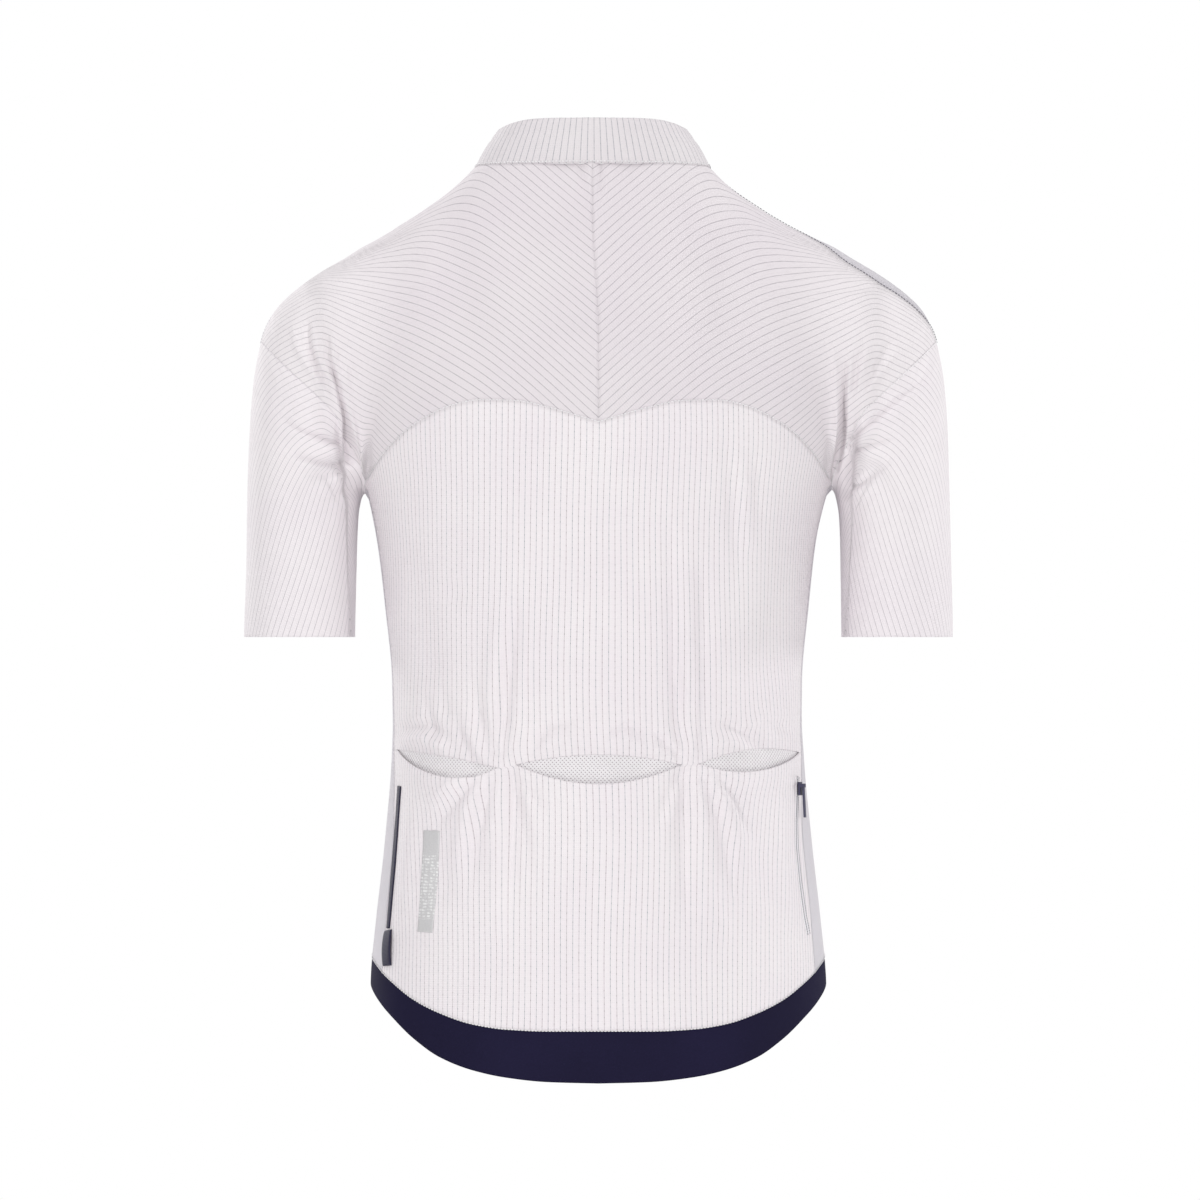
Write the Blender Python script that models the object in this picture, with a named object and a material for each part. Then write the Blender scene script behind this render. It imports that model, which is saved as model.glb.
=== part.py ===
"""Cycling jersey: short sleeves, stand collar, three rear pockets, full front zip.

The jersey is filled out as if worn, with nothing inside it. Sizes are in
millimetres in the tables and turned into metres when a mesh is made.
+X is the wearer's left, -Y the front, +Z up; the origin is the centre back of
the collar seam, moved to the body's middle plane.
"""
import math

import bpy
import numpy as np
from mathutils import Matrix, Vector
from mathutils.bvhtree import BVHTree

MM = 0.001
WALL = 1.2  # the cloth's thickness
SEAM_GAP = 0.3  # between two pieces at a seam
TAPE_HALF = 7.0  # half the front zip's width between the two fronts
ARMPIT_X = 175.2
SLEEVE_HEM_Z = -355.5
COLLAR_RISE = 34.0
POCKET_DEPTH = 150.0  # from a pocket's mouth to its bottom
POCKET_BULGE = 7.5  # how far a pocket's front stands out at its mouth
POCKET_SAG = 8.0  # how far the mesh behind a pocket hangs inwards

# The body's section at a height: half width, depth behind and before the middle,
# sideways offset of the middle, and squareness (2 is an ellipse).
TORSO = (
    # z,   half, back, front, offset, square
    (20, 74.0, 44, 30, 4.5, 2.05),
    (0, 86.5, 52, 38, 4.3, 2.1),
    (-9, 94.5, 55, 42, 4.4, 2.1),
    (-18, 104.5, 58, 46, 4.5, 2.1),
    (-36, 129.5, 65, 54, 4.5, 2.1),
    (-54, 156.0, 72, 62, 4.0, 2.15),
    (-75, 170.0, 81, 73, 2.6, 2.2),
    (-100, 181.0, 91, 87, 1.0, 2.3),
    (-135, 187.0, 102, 101, 0.0, 2.35),
    (-170, 188.0, 110, 110, 0.0, 2.4),
    (-210, 184.0, 115, 117, 0.0, 2.4),
    (-245, 173.5, 116, 119, 0.8, 2.35),
    (-283, 165.0, 115, 117, 1.5, 2.3),
    (-330, 159.3, 111, 112, 1.5, 2.25),
    (-388, 154.3, 106, 106, 1.2, 2.2),
    (-418, 154.0, 105, 104, 1.0, 2.2),
    (-448, 155.2, 106, 104, 0.5, 2.2),
    (-508, 160.5, 111, 106, 0.0, 2.2),
    (-568, 167.0, 116, 108, 0.0, 2.2),
    (-620, 171.0, 119, 110, 0.0, 2.2),
    (-700, 171.5, 120, 110, 0.0, 2.2),
)
# A sleeve's section at a height, and how softly it runs into the body there.
ARM = (
    # z,   inner, outer, half depth, middle y, square, blend
    (-30, 92, 108, 9, 0, 2.0, 12),
    (-45, 98, 133, 16, 0, 2.0, 16),
    (-54, 103, 155, 23, 1, 2.05, 18),
    (-63, 108, 177, 29, 1, 2.1, 20),
    (-72, 112, 192, 33, 2, 2.1, 20),
    (-81, 116, 207.5, 38, 2, 2.15, 21),
    (-90, 120, 221, 42, 2, 2.15, 22),
    (-99, 124, 232.5, 46, 3, 2.2, 23),
    (-108, 128, 241.5, 49, 3, 2.2, 24),
    (-117, 132, 247.5, 51.5, 3, 2.2, 25),
    (-126, 136, 251.5, 53.5, 3, 2.2, 26),
    (-135, 140, 254, 55, 3, 2.2, 26),
    (-162, 150, 259, 57.5, 2, 2.2, 22),
    (-189, 159, 261.5, 58, 1, 2.2, 18),
    (-216, 168, 263, 57, 0, 2.2, 12),
    (-243, 176, 264, 55, -1, 2.2, 8),
    (-265, 180.5, 264.5, 53.5, -2, 2.2, 6),
    (-300, 182, 265, 51, -3, 2.2, 4),
    (-356, 183, 266.5, 48, -5, 2.2, 4),
    (-420, 183, 266.5, 48, -5, 2.2, 4),
)
# The collar seam in front, from the shoulder to the zip.
NECK_FRONT = (
    # way, x, z
    (0.00, 87.0, -2),
    (0.17, 83.5, -14),
    (0.34, 75.5, -33),
    (0.52, 61.0, -50),
    (0.70, 42.0, -63.5),
    (0.86, 22.5, -72),
    (1.00, TAPE_HALF, -75),
)
# The shoulder seam runs over the top of the shoulder; behind is its y at a height.
SHOULDER_SEAM = {
    # z, behind
    "left": ((-2, -9), (-40, -9), (-80, -8), (-110, -6), (-134, 1)),
    "right": ((-2, -9), (-28, -5), (-46, 5), (-62, 17), (-80, 27), (-95, 29),
              (-110, 24), (-122, 13), (-134, 2)),
}
# The sleeve seam behind and in front, from the shoulder's point to the armpit.
SLEEVE_SEAM = {
    # way, x, z
    "back": ((0, 253.5, -134), (0.13, 240, -148), (0.27, 225, -162), (0.4, 212, -174),
             (0.52, 199, -187), (0.66, 188, -204), (0.82, 180.5, -221), (1, ARMPIT_X, -239)),
    "front": ((0, 253.5, -134), (0.14, 238, -147), (0.3, 219, -162), (0.46, 203, -179),
              (0.64, 190, -201), (0.82, 181, -222), (1, ARMPIT_X, -239)),
}
# The seam between yoke and back, from the centre outwards.
YOKE_SEAM = (
    # x, z
    (0, -194.5), (15, -190), (36, -184), (63, -178.5), (88, -178), (108, -181.5),
    (127, -189.5), (146, -202), (157, -213), (165, -223), (171, -233), (177, -241),
)
# Where the side panel starts and ends, as an angle from the centre back.
SIDE_SEAMS = (
    # z, behind, front
    (-236, 84.0, 96.0),
    (-300, 84.0, 100),
    (-400, 83.0, 105),
    (-440, 81.0, 106),
    (-470, 76.5, 107),
    (-510, 72.0, 108),
    (-560, 71.5, 109),
    (-620, 71.0, 110),
    (-700, 71.0, 110),
)
# The hem band's upper and lower edge at an angle from the centre back.
HEM = (
    # angle, seam, edge
    (0, -650, -689),
    (11, -650, -688),
    (21.6, -648.7, -684.8),
    (31.2, -645, -679.5),
    (42.2, -636.7, -669.8),
    (51.9, -627.5, -657),
    (64.7, -613, -639),
    (80.8, -599, -621.5),
    (90, -595, -615),
    (110, -588, -606),
    (140, -577, -596),
    (180, -570, -590),
)
# A pocket's mouth: two ends, how far its upper lip arches up and its lower one sags.
POCKETS = (
    # name, x and z of one end, x and z of the other, up, down
    ("left", 75.5, -453.5, 151, -440, 1.5, 14.0),
    ("centre", -62, -451, 62, -451, 7.5, 15.0),
    ("right", -75.5, -450.5, -151, -442, 6.5, 10.5),
)
# How many rows and columns the panels have between their corners.
NECK_COLS, SHOULDER_COLS = 6, 10
ARMHOLE_ROWS, UNDERARM_COLS, SLEEVE_ROWS = 8, 4, 7
UPPER_ROWS, LOWER_ROWS = 10, 7
BACK_COLS = NECK_COLS + SHOULDER_COLS

CLOTH = (0.87, 0.84, 0.86)
YOKE_CLOTH = (0.81, 0.77, 0.82)
NAVY = (0.018, 0.016, 0.048)

for old in list(bpy.data.objects):
    bpy.data.objects.remove(old, do_unlink=True)
jersey = bpy.data.collections.new("cycling_jersey")
bpy.context.scene.collection.children.link(jersey)


def curve(xs, ys):
    """A smooth curve through points that never overshoots them."""
    order = np.argsort(xs)
    xs, ys = np.array(xs, float)[order], np.array(ys, float)[order]
    step = np.diff(xs)
    rise = np.diff(ys) / step
    slope = np.zeros(len(xs))
    slope[0], slope[-1] = rise[0], rise[-1]
    for i in range(1, len(xs) - 1):
        if rise[i - 1] * rise[i] > 0:
            before, after = 2 * step[i] + step[i - 1], step[i] + 2 * step[i - 1]
            slope[i] = (before + after) / (before / rise[i - 1] + after / rise[i])

    def at(x):
        x = np.clip(np.asarray(x, float), xs[0], xs[-1])
        i = np.clip(np.searchsorted(xs, x) - 1, 0, len(step) - 1)
        t = (x - xs[i]) / step[i]
        return (
            (1 + 2 * t) * (1 - t) ** 2 * ys[i]
            + t * (1 - t) ** 2 * step[i] * slope[i]
            + t * t * (3 - 2 * t) * ys[i + 1]
            + t * t * (t - 1) * step[i] * slope[i + 1]
        )

    return at


def columns(table):
    """One smooth curve for each column of a table over its first column."""
    first = [row[0] for row in table]
    return [curve(first, [row[k] for row in table]) for k in range(1, len(table[0]))]


torso_half, torso_back, torso_front, torso_offset, torso_square = columns(TORSO)
arm_inner, arm_outer, arm_depth, arm_middle, arm_square, arm_blend = columns(ARM)
side_behind, side_front = columns(SIDE_SEAMS)
hem_seam, hem_edge = columns(HEM)
yoke_seam = curve(*zip(*YOKE_SEAM))


def oval(dx, dy, half, depth, square):
    """Distance from an oval, less than 0 inside it."""
    q = (np.abs(dx) / half) ** square + (np.abs(dy) / depth) ** square
    return np.hypot(dx, dy) * (1 - np.maximum(q, 1e-9) ** (-1 / square))


def field(p):
    """Distance from the jersey's outer face: body and sleeves, softly joined."""
    x, y, z = p[..., 0], p[..., 1], p[..., 2]
    depth = np.where(y > 0, torso_back(z), torso_front(z))
    body = oval(x - torso_offset(z), y, torso_half(z), depth, torso_square(z))
    inner, outer, soft = arm_inner(z), arm_outer(z), arm_blend(z)
    middle, half = (inner + outer) / 2, (outer - inner) / 2
    arm = oval(np.abs(x) - middle, y - arm_middle(z), half, arm_depth(z), arm_square(z))
    arm = arm + 0.7 * np.maximum(z + 54, 0)
    meet = np.maximum(soft - np.abs(body - arm), 0) / soft
    return np.minimum(body, arm) - meet * meet * soft / 4


def slope_of(p):
    """How the distance changes along x, y and z."""
    out = np.zeros(p.shape)
    for k in range(3):
        step = np.zeros(3)
        step[k] = 0.4
        out[..., k] = (field(p + step) - field(p - step)) / 0.8
    return out


def normal(p):
    """The outward direction at points of the jersey."""
    s = slope_of(p)
    return s / np.linalg.norm(s, axis=-1, keepdims=True)


def settle(p, turns=7):
    """Points moved onto the jersey's outer face."""
    p = np.array(p, float)
    for _ in range(turns):
        s = slope_of(p)
        far = field(p)[..., None] * s / np.maximum((s * s).sum(-1, keepdims=True), 0.05)
        size = np.linalg.norm(far, axis=-1, keepdims=True)
        p -= far * np.minimum(1, 12 / np.maximum(size, 1e-9))
    return p


def between(low, high, k):
    """Where the face lies along axis k, from inside points low to outside points high."""
    low, high = np.array(low, float), np.array(high, float)
    for _ in range(40):
        mid = (low + high) / 2
        inside = (field(mid) < 0)[..., None]
        low, high = np.where(inside, mid, low), np.where(inside, high, mid)
    return (low + high) / 2


def face_y(x, z, way):
    """Points of the face at x and z, behind (way 1) or in front (way -1)."""
    x, z = np.broadcast_arrays(np.asarray(x, float), np.asarray(z, float))
    zero = np.zeros(x.shape)
    return settle(between(np.stack([x, zero, z], -1),
                          np.stack([x, zero + way * 200, z], -1), 1))


def around(angle, z, side):
    """Points of the body at angles in degrees from the centre back."""
    turn, z = np.broadcast_arrays(np.radians(np.asarray(angle, float)), np.asarray(z, float))
    power = 2 / torso_square(z)
    depth = np.where(np.cos(turn) > 0, torso_back(z), torso_front(z))
    x = torso_offset(z) + side * torso_half(z) * np.abs(np.sin(turn)) ** power
    y = np.sign(np.cos(turn)) * depth * np.abs(np.cos(turn)) ** power
    return settle(np.stack([x, y, z], -1))


def fill(top, bottom, left, right):
    """A panel's points between its four edges; rows run from top to bottom."""
    u = np.linspace(0, 1, len(top))[None, :, None]
    v = np.linspace(0, 1, len(left))[:, None, None]
    flat = (
        (1 - v) * top[None] + v * bottom[None] + (1 - u) * left[:, None] + u * right[:, None]
        - (1 - u) * (1 - v) * top[0] - u * (1 - v) * top[-1]
        - (1 - u) * v * bottom[0] - u * v * bottom[-1]
    )
    flat = settle(flat, 10)
    flat[0], flat[-1], flat[:, 0], flat[:, -1] = top, bottom, left, right
    for _ in range(24):  # evens out the points' spacing
        mid = (flat[:-2, 1:-1] + flat[2:, 1:-1] + flat[1:-1, :-2] + flat[1:-1, 2:]) / 4
        flat[1:-1, 1:-1] = settle(mid, 2)
    return flat


def quads_of(rows, cols, start=0, ring=False):
    """A grid's faces; a ring's last column meets its first."""
    last = cols if ring else cols - 1
    return [
        (start + r * cols + c, start + r * cols + (c + 1) % cols,
         start + (r + 1) * cols + (c + 1) % cols, start + (r + 1) * cols + c)
        for r in range(rows - 1)
        for c in range(last)
    ]


def material(name, colour, rough, metal=0.0):
    made = bpy.data.materials.new(name)
    made.use_nodes = True
    look = made.node_tree.nodes["Principled BSDF"]
    look.inputs["Base Color"].default_value = (*colour, 1)
    look.inputs["Roughness"].default_value = rough
    look.inputs["Metallic"].default_value = metal
    made.diffuse_color = (*colour, 1)
    return made


def add(name, points, faces, colour, rough=0.8, metal=0.0, origin=(0, 0, 0)):
    """A named object from points in millimetres."""
    mesh = bpy.data.meshes.new(name)
    points = (np.asarray(points) - np.asarray(origin)) * MM
    mesh.from_pydata([tuple(p) for p in points], [], [tuple(f) for f in faces])
    mesh.update()
    made = bpy.data.objects.new(name, mesh)
    made.location = Vector(origin) * MM
    mesh.materials.append(material(name, colour, rough, metal))
    jersey.objects.link(made)
    return made


def face_normals(points, quads):
    """Smooth outward directions from the faces themselves."""
    quads = np.asarray(quads)
    a = np.cross(points[quads[:, 2]] - points[quads[:, 0]],
                 points[quads[:, 3]] - points[quads[:, 1]])
    out = np.zeros(points.shape)
    for k in range(4):
        np.add.at(out, quads[:, k], a)
    return out / np.maximum(np.linalg.norm(out, axis=1, keepdims=True), 1e-9)


PANELS = []  # the outer face of each body panel, for what is sewn on top


def cloth(name, points, quads, colour, outward=None, wall=WALL, keep=False, rough=0.8):
    """A wall of cloth under a grid of points; its rim draws back half a seam gap."""
    points = np.asarray(points, float)
    quads = [tuple(q) for q in quads]
    if outward is None:
        outward = normal(points)
    flat = face_normals(points, quads)
    if (flat * outward).sum() < 0:
        quads = [q[::-1] for q in quads]
    sides = {}
    for q in quads:
        for k in range(4):
            a, b = q[k], q[(k + 1) % 4]
            if a != b:
                sides[(a, b)] = sides.get((a, b), 0) + 1
    rim = [(a, b) for a, b in sides if (b, a) not in sides]
    draw, count = np.zeros(points.shape), {}
    for a, b in rim:
        along = points[b] - points[a]
        along /= max(np.linalg.norm(along), 1e-9)
        for v in (a, b):
            count.setdefault(v, []).append(np.cross(outward[v], along))
    for v, ways in count.items():
        both = ways[0] + ways[-1] if len(ways) > 1 else ways[0]
        share = max(1 + float(np.dot(ways[0], ways[-1])), 0.12) if len(ways) > 1 else 1
        draw[v] = both * (SEAM_GAP / 2) / share
    outer = points + draw
    inner = outer - wall * outward
    n = len(outer)
    used = sorted({v for q in quads for v in q})
    place = {v: i for i, v in enumerate(used)}
    m = len(used)
    faces = [tuple(place[v] for v in q) for q in quads]
    faces += [tuple(m + place[v] for v in q[::-1]) for q in quads]
    for a, b in rim:
        # both pieces at a seam split their rims along the same diagonal
        lean = (points[a] - points[b]) @ np.array([0.11, 0.37, 1.0])
        a, b, c, d = place[a], place[b], m + place[a], m + place[b]
        faces += [(a, c, d), (b, a, d)] if lean > 0 else [(b, a, c), (b, c, d)]
    if keep:
        PANELS.append((outer, quads))
    assert n >= m
    return add(name, np.concatenate([outer[used], inner[used]]), faces, colour, rough)


# --- seams ---------------------------------------------------------------------
SIDES = (("left", 1), ("right", -1))
CENTRE = float(torso_offset(0.0))
ZIP_TOP_X = float(torso_offset(-75.0))


def neck_back(side):
    """The collar seam from the centre back to the shoulder."""
    turn = np.linspace(0, 90, NECK_COLS + 1)
    z = -2 * (turn / 90) ** 2
    return around(turn, z, side)


def neck_front(side):
    """The collar seam from the shoulder to the zip."""
    x, z = columns(NECK_FRONT)
    way = np.linspace(0, 1, NECK_COLS + 1)
    points = face_y(torso_offset(z(way)) + side * x(way), z(way), -1)
    points[0] = neck_back(side)[-1]
    return points


def shoulder(side, name):
    """The shoulder seam from the collar to the shoulder's point."""
    behind = curve(*zip(*SHOULDER_SEAM[name]))
    z = -2 - 132 * np.linspace(0, 1, SHOULDER_COLS + 1) ** 0.9
    y = behind(z)
    inside = np.stack([side * (60 + 0 * z), y, z], -1)
    outside = np.stack([side * (320 + 0 * z), y, z], -1)
    points = between(inside, outside, 0)
    points[0] = neck_back(side)[-1]
    return points


def armhole(side, way, name):
    """The sleeve seam from the shoulder's point to the armpit."""
    x, z = columns(SLEEVE_SEAM["back" if way > 0 else "front"])
    t = np.linspace(0, 1, ARMHOLE_ROWS + 1)
    points = face_y(side * x(t), z(t), way)
    points[0] = shoulder(side, name)[-1]
    points[-1] = crotch(side)[0 if way > 0 else -1]
    return points


def crotch(side):
    """The seam under the arm, from behind to the front."""
    y = np.linspace(17, -17, UNDERARM_COLS + 1)
    low = np.stack([side * (ARMPIT_X + 0 * y), y, -205 + 0 * y], -1)
    return between(low, low - np.array([0, 0, 90]), 2)


def halves(table_name):
    """The share of the half back at which each column stands."""
    mouth = [math.degrees(math.asin((x / 155) ** 1.1)) / 81 for x in (62, 75.5, 151)]
    return np.concatenate([
        np.linspace(0, mouth[0], 6), np.linspace(mouth[1], mouth[2], 9),
        np.linspace(mouth[2], 1, 3)[1:],
    ])


COLUMN_AT = halves("back")


def on_column(share, z, side):
    return around(share * side_behind(z), z, side)


def yoke_edge(side):
    """The yoke's seam with the back, from the centre to the armpit."""
    z = np.full(len(COLUMN_AT), -200.0)
    for _ in range(25):
        x = np.abs(on_column(COLUMN_AT, z, side)[:, 0])
        z = 0.5 * z + 0.5 * yoke_seam(x)
    points = on_column(COLUMN_AT, z, side)
    points[-1] = crotch(side)[0]
    return points


def mouth_lips(side, name):
    """The height of the upper and lower lip at each column of one half."""
    z = np.full(len(COLUMN_AT), -450.0)
    x = on_column(COLUMN_AT, z, side)[:, 0]
    upper = np.full(len(x), -450.0)
    lower = upper.copy()
    slit = np.zeros(len(x), bool)
    for pocket, x0, z0, x1, z1, up, down in POCKETS:
        if pocket not in ("centre", name):
            continue
        t = (x - x0) / (x1 - x0)
        t = np.where(np.abs(t) < 0.02, 0, np.where(np.abs(t - 1) < 0.02, 1, t))
        held = (t >= 0) & (t <= 1)
        lens = 4 * np.clip(t, 0, 1) * (1 - np.clip(t, 0, 1))
        chord = z0 + (z1 - z0) * t
        upper = np.where(held, chord + up * lens, upper)
        lower = np.where(held, chord - down * lens, lower)
        slit |= (t > 0) & (t < 1)
    end = upper[-3]
    upper[-2:] = lower[-2:] = end
    return upper, lower, slit


def side_rows(side, which):
    """The heights of the rows along a side seam, from the armpit to the hem seam."""
    name = "left" if side > 0 else "right"
    mouth = mouth_lips(side, name)[0][-1]
    top = crotch(side)[0 if which == "back" else -1][2]
    angle = side_behind(-600.0) if which == "back" else side_front(-600.0)
    low = float(hem_seam(angle))
    t = np.linspace(0, 1, UPPER_ROWS + 1)
    upper = top + (mouth - top) * (1 - (1 - t) ** 1.45)
    s = np.linspace(0, 1, LOWER_ROWS + 1)
    lower = mouth + (low - mouth) * s ** 1.2
    return np.concatenate([upper, lower[1:]])


def side_edge(side, which):
    """A side seam's points, from the armpit to the hem seam."""
    z = side_rows(side, which)
    turn = side_behind(z) if which == "back" else side_front(z)
    points = around(turn, z, side)
    points[0] = crotch(side)[0 if which == "back" else -1]
    corner = side_behind(-600.0) if which == "back" else side_front(-600.0)
    points[-1] = around(corner, hem_seam(corner), side)
    return points


def hem_angles():
    """The angles of the hem's columns from the centre back to the zip, one side."""
    behind, front = float(side_behind(-600.0)), float(side_front(-600.0))
    zip_angle = 180 - math.degrees(math.asin((TAPE_HALF / 169) ** 1.1))
    return (COLUMN_AT * behind, np.linspace(behind, front, UNDERARM_COLS + 1),
            np.linspace(front, zip_angle, BACK_COLS + 1))


def hem_points(angles, low, side):
    """Points on the hem seam (low 0) to the hem's edge (low 1)."""
    z = (1 - low) * hem_seam(angles) + low * hem_edge(angles)
    return around(angles, z, side)


def zip_edge(side):
    """The front's edge beside the zip, from the collar seam to the hem seam."""
    t = np.linspace(0, 1, ARMHOLE_ROWS + 1)
    upper = -75 + (-240 + 75) * t
    rest = side_rows(side, "front")
    low = float(hem_seam(180.0))
    rest = -240 + (rest - rest[0]) / (rest[-1] - rest[0]) * (low + 240)
    z = np.concatenate([upper, rest[1:]])
    points = face_y(torso_offset(z) + side * TAPE_HALF, z, -1)
    points[0] = neck_front(side)[-1]
    points[-1] = hem_points(hem_angles()[2], 0, side)[-1]
    return points


# --- pocket form ------------------------------------------------------------------
def pocket_swell(x, z):
    """How far the back stands out over its pockets, and above the middle one."""
    out = np.zeros(np.shape(x))
    for _, x0, z0, x1, z1, up, down in POCKETS:
        t = np.clip((x - x0) / (x1 - x0), 0, 1)
        lens = 4 * t * (1 - t)
        chord = z0 + (z1 - z0) * t
        below = np.maximum(chord - down * lens - z, 0)
        front = POCKET_BULGE * lens ** 0.8 * np.exp(-((below / 75) ** 1.4))
        above = (z - chord - up * lens)
        mound = (4.0 if up > 7 else 1.8) * lens * np.exp(-(((above - 12) / 16) ** 2))
        out = np.maximum(out, np.where(z < chord - 1e-6 - 0.5 * down * lens, front,
                                       np.where(above > -1e-3, mound, 0)))
    return out


# --- panels -----------------------------------------------------------------------
upper_t = np.linspace(0, 1, UPPER_ROWS + 1)
lower_t = np.linspace(0, 1, LOWER_ROWS + 1)
half_grids = {}
for name, side in SIDES:
    top = yoke_edge(side)
    lip_up, lip_down, slit = mouth_lips(side, name)
    z_up = top[:, 2] + (lip_up - top[:, 2]) * (1 - (1 - upper_t[:, None]) ** 1.45)
    rows_up = on_column(COLUMN_AT[None], z_up, side)
    rows_up[0] = top
    rows_up[:, -1] = side_edge(side, "back")[: UPPER_ROWS + 1]
    hem = hem_points(hem_angles()[0], 0, side)
    z_low = lip_down + (hem[:, 2] - lip_down) * lower_t[:, None] ** 1.2
    rows_low = on_column(COLUMN_AT[None], z_low, side)
    rows_low[-1] = hem
    rows_low[:, -1] = side_edge(side, "back")[UPPER_ROWS:]
    half_grids[name] = (rows_up, rows_low, slit)

# The back: one panel across both halves, open at the three pocket mouths.
ups = np.concatenate([half_grids["left"][0][:, ::-1], half_grids["right"][0][:, 1:]], 1)
lows = np.concatenate([half_grids["left"][1][:, ::-1], half_grids["right"][1][:, 1:]], 1)
slits = np.concatenate([half_grids["left"][2][::-1], half_grids["right"][2][1:]])
cols = ups.shape[1]
points = np.concatenate([ups.reshape(-1, 3), lows.reshape(-1, 3)])
swell = pocket_swell(points[:, 0], points[:, 2])
edge = np.zeros(len(points), bool)
edge[:cols] = True
edge[-cols:] = True
points = points + np.where(edge, 0, swell)[:, None] * normal(points)
first_low = ups.shape[0] * cols
merge = {first_low + c: first_low - cols + c for c in range(cols) if not slits[c]}
quads = quads_of(ups.shape[0], cols) + quads_of(lows.shape[0], cols, first_low)
quads = [tuple(merge.get(v, v) for v in q) for q in quads]
cloth("back_panel", points, quads, CLOTH, keep=True)

for name, side in SIDES:
    # The yoke, from the collar and shoulder seams down to its seam with the back.
    neck, over = neck_back(side), shoulder(side, name)
    top = np.concatenate([neck, over[1:]])
    seam_z = np.linspace(0, top[0][2] * 0 + float(yoke_seam(0.0)), ARMHOLE_ROWS + 1)
    centre = face_y(torso_offset(seam_z), seam_z, 1)
    centre[0], centre[-1] = top[0], yoke_edge(side)[0]
    grid = fill(top, yoke_edge(side), centre, armhole(side, 1, name))
    cloth("back_yoke_" + name, grid.reshape(-1, 3), quads_of(*grid.shape[:2]), YOKE_CLOTH,
          keep=True)

    # The front, from the collar and shoulder seams down to the hem seam.
    top = np.concatenate([neck_front(side)[::-1], over[1:]])
    right = np.concatenate([armhole(side, -1, name), side_edge(side, "front")[1:]])
    bottom = hem_points(hem_angles()[2], 0, side)[::-1]
    left = zip_edge(side)
    chest_turn = np.linspace(180 - math.degrees(math.asin((TAPE_HALF / 184) ** 1.2)), 96,
                             BACK_COLS + 1)
    chest = around(chest_turn, np.linspace(left[ARMHOLE_ROWS][2], right[ARMHOLE_ROWS][2],
                                           BACK_COLS + 1), side)
    chest[0], chest[-1] = left[ARMHOLE_ROWS], right[ARMHOLE_ROWS]
    k = ARMHOLE_ROWS
    grid = np.concatenate([fill(top, chest, left[: k + 1], right[: k + 1]),
                           fill(chest, bottom, left[k:], right[k:])[1:]])
    cloth("front_panel_" + name, grid.reshape(-1, 3), quads_of(*grid.shape[:2]), CLOTH)

    # The side panel, from under the arm to the hem seam.
    grid = fill(crotch(side), hem_points(hem_angles()[1], 0, side),
                side_edge(side, "back"), side_edge(side, "front"))
    cloth("side_panel_" + name, grid.reshape(-1, 3), quads_of(*grid.shape[:2]), CLOTH,
          keep=True)

    # The sleeve: rings from the sleeve seam down to its hem.
    loop = np.concatenate([armhole(side, 1, name), crotch(side)[1:],
                           armhole(side, -1, name)[::-1][1:-1]])
    turn = np.radians(np.concatenate([
        np.linspace(0, 158, ARMHOLE_ROWS + 1), np.linspace(158, 202, UNDERARM_COLS + 1)[1:],
        np.linspace(202, 360, ARMHOLE_ROWS + 1)[1:-1]]))
    z = SLEEVE_HEM_Z
    middle, half = (arm_inner(z) + arm_outer(z)) / 2, (arm_outer(z) - arm_inner(z)) / 2
    power = 2 / arm_square(z)
    cos, sin = np.cos(turn), np.sin(turn)
    hem = np.stack([side * (middle + half * np.sign(cos) * np.abs(cos) ** power),
                    arm_middle(z) + arm_depth(z) * np.sign(sin) * np.abs(sin) ** power,
                    np.full(len(turn), z)], -1)
    t = np.linspace(0, 1, SLEEVE_ROWS + 1)[:, None, None]
    rings = settle((1 - t) * loop[None] + t * hem[None], 8)
    rings[0], rings[-1] = loop, hem
    cloth("sleeve_" + name, rings.reshape(-1, 3),
          quads_of(*rings.shape[:2], ring=True), YOKE_CLOTH)

# The collar stands on the collar seam and leans in a little.
base = np.concatenate([
    neck_front(1)[::-1], neck_back(1)[::-1][1:], neck_back(-1)[1:], neck_front(-1)[1:]])
count = len(base)
way = np.abs(np.linspace(-180, 180, count))
away = base[:, :2] - np.array([CENTRE, -8.0])
reach = np.linalg.norm(away, axis=1)
rise = np.interp(np.abs(away[:, 0]), [0, 50, 62, 75, 84, 88],
                 [COLLAR_RISE, 33.8, 33, 31, 28.5, 27.5])
rise = np.where(base[:, 1] < -12, COLLAR_RISE - 4, rise)
draw = np.where(base[:, 1] > 0, 12 + 6 * (np.abs(away[:, 0]) / reach) ** 3, 15.5)
draw = np.where(np.abs(base[:, 1] + 12) < 14, 17.5, draw)
top = base.copy()
top[:, :2] -= away / reach[:, None] * draw[:, None]
top[:, 2] += rise
middle_row = (base + top) / 2
collar = np.stack([base, middle_row, top])
collar[0, :, 2] += 0.15
for row in collar:
    for k, side in ((0, 1), (-1, -1)):
        row[k, 0] = ZIP_TOP_X + side * TAPE_HALF
flat = face_normals(collar.reshape(-1, 3), quads_of(3, count))
if (flat * np.concatenate([away, np.zeros((count, 1))], 1)[None].repeat(3, 0).reshape(-1, 3)
        ).sum() < 0:
    flat = -flat
cloth("collar", collar.reshape(-1, 3), quads_of(3, count), CLOTH, outward=flat, wall=1.6)

# The hem band goes all round, from one side of the zip to the other.
angles = np.concatenate([hem_angles()[0], hem_angles()[1][1:], hem_angles()[2][1:]])
rows = []
for low in (0, 0.5, 1):
    one, two = hem_points(angles, low, 1), hem_points(angles, low, -1)
    rows.append(np.concatenate([one[::-1], two[1:]]))
band = np.stack(rows)
cloth("hem_band", band.reshape(-1, 3), quads_of(3, band.shape[1]), NAVY, wall=1.6, rough=0.6)

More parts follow.
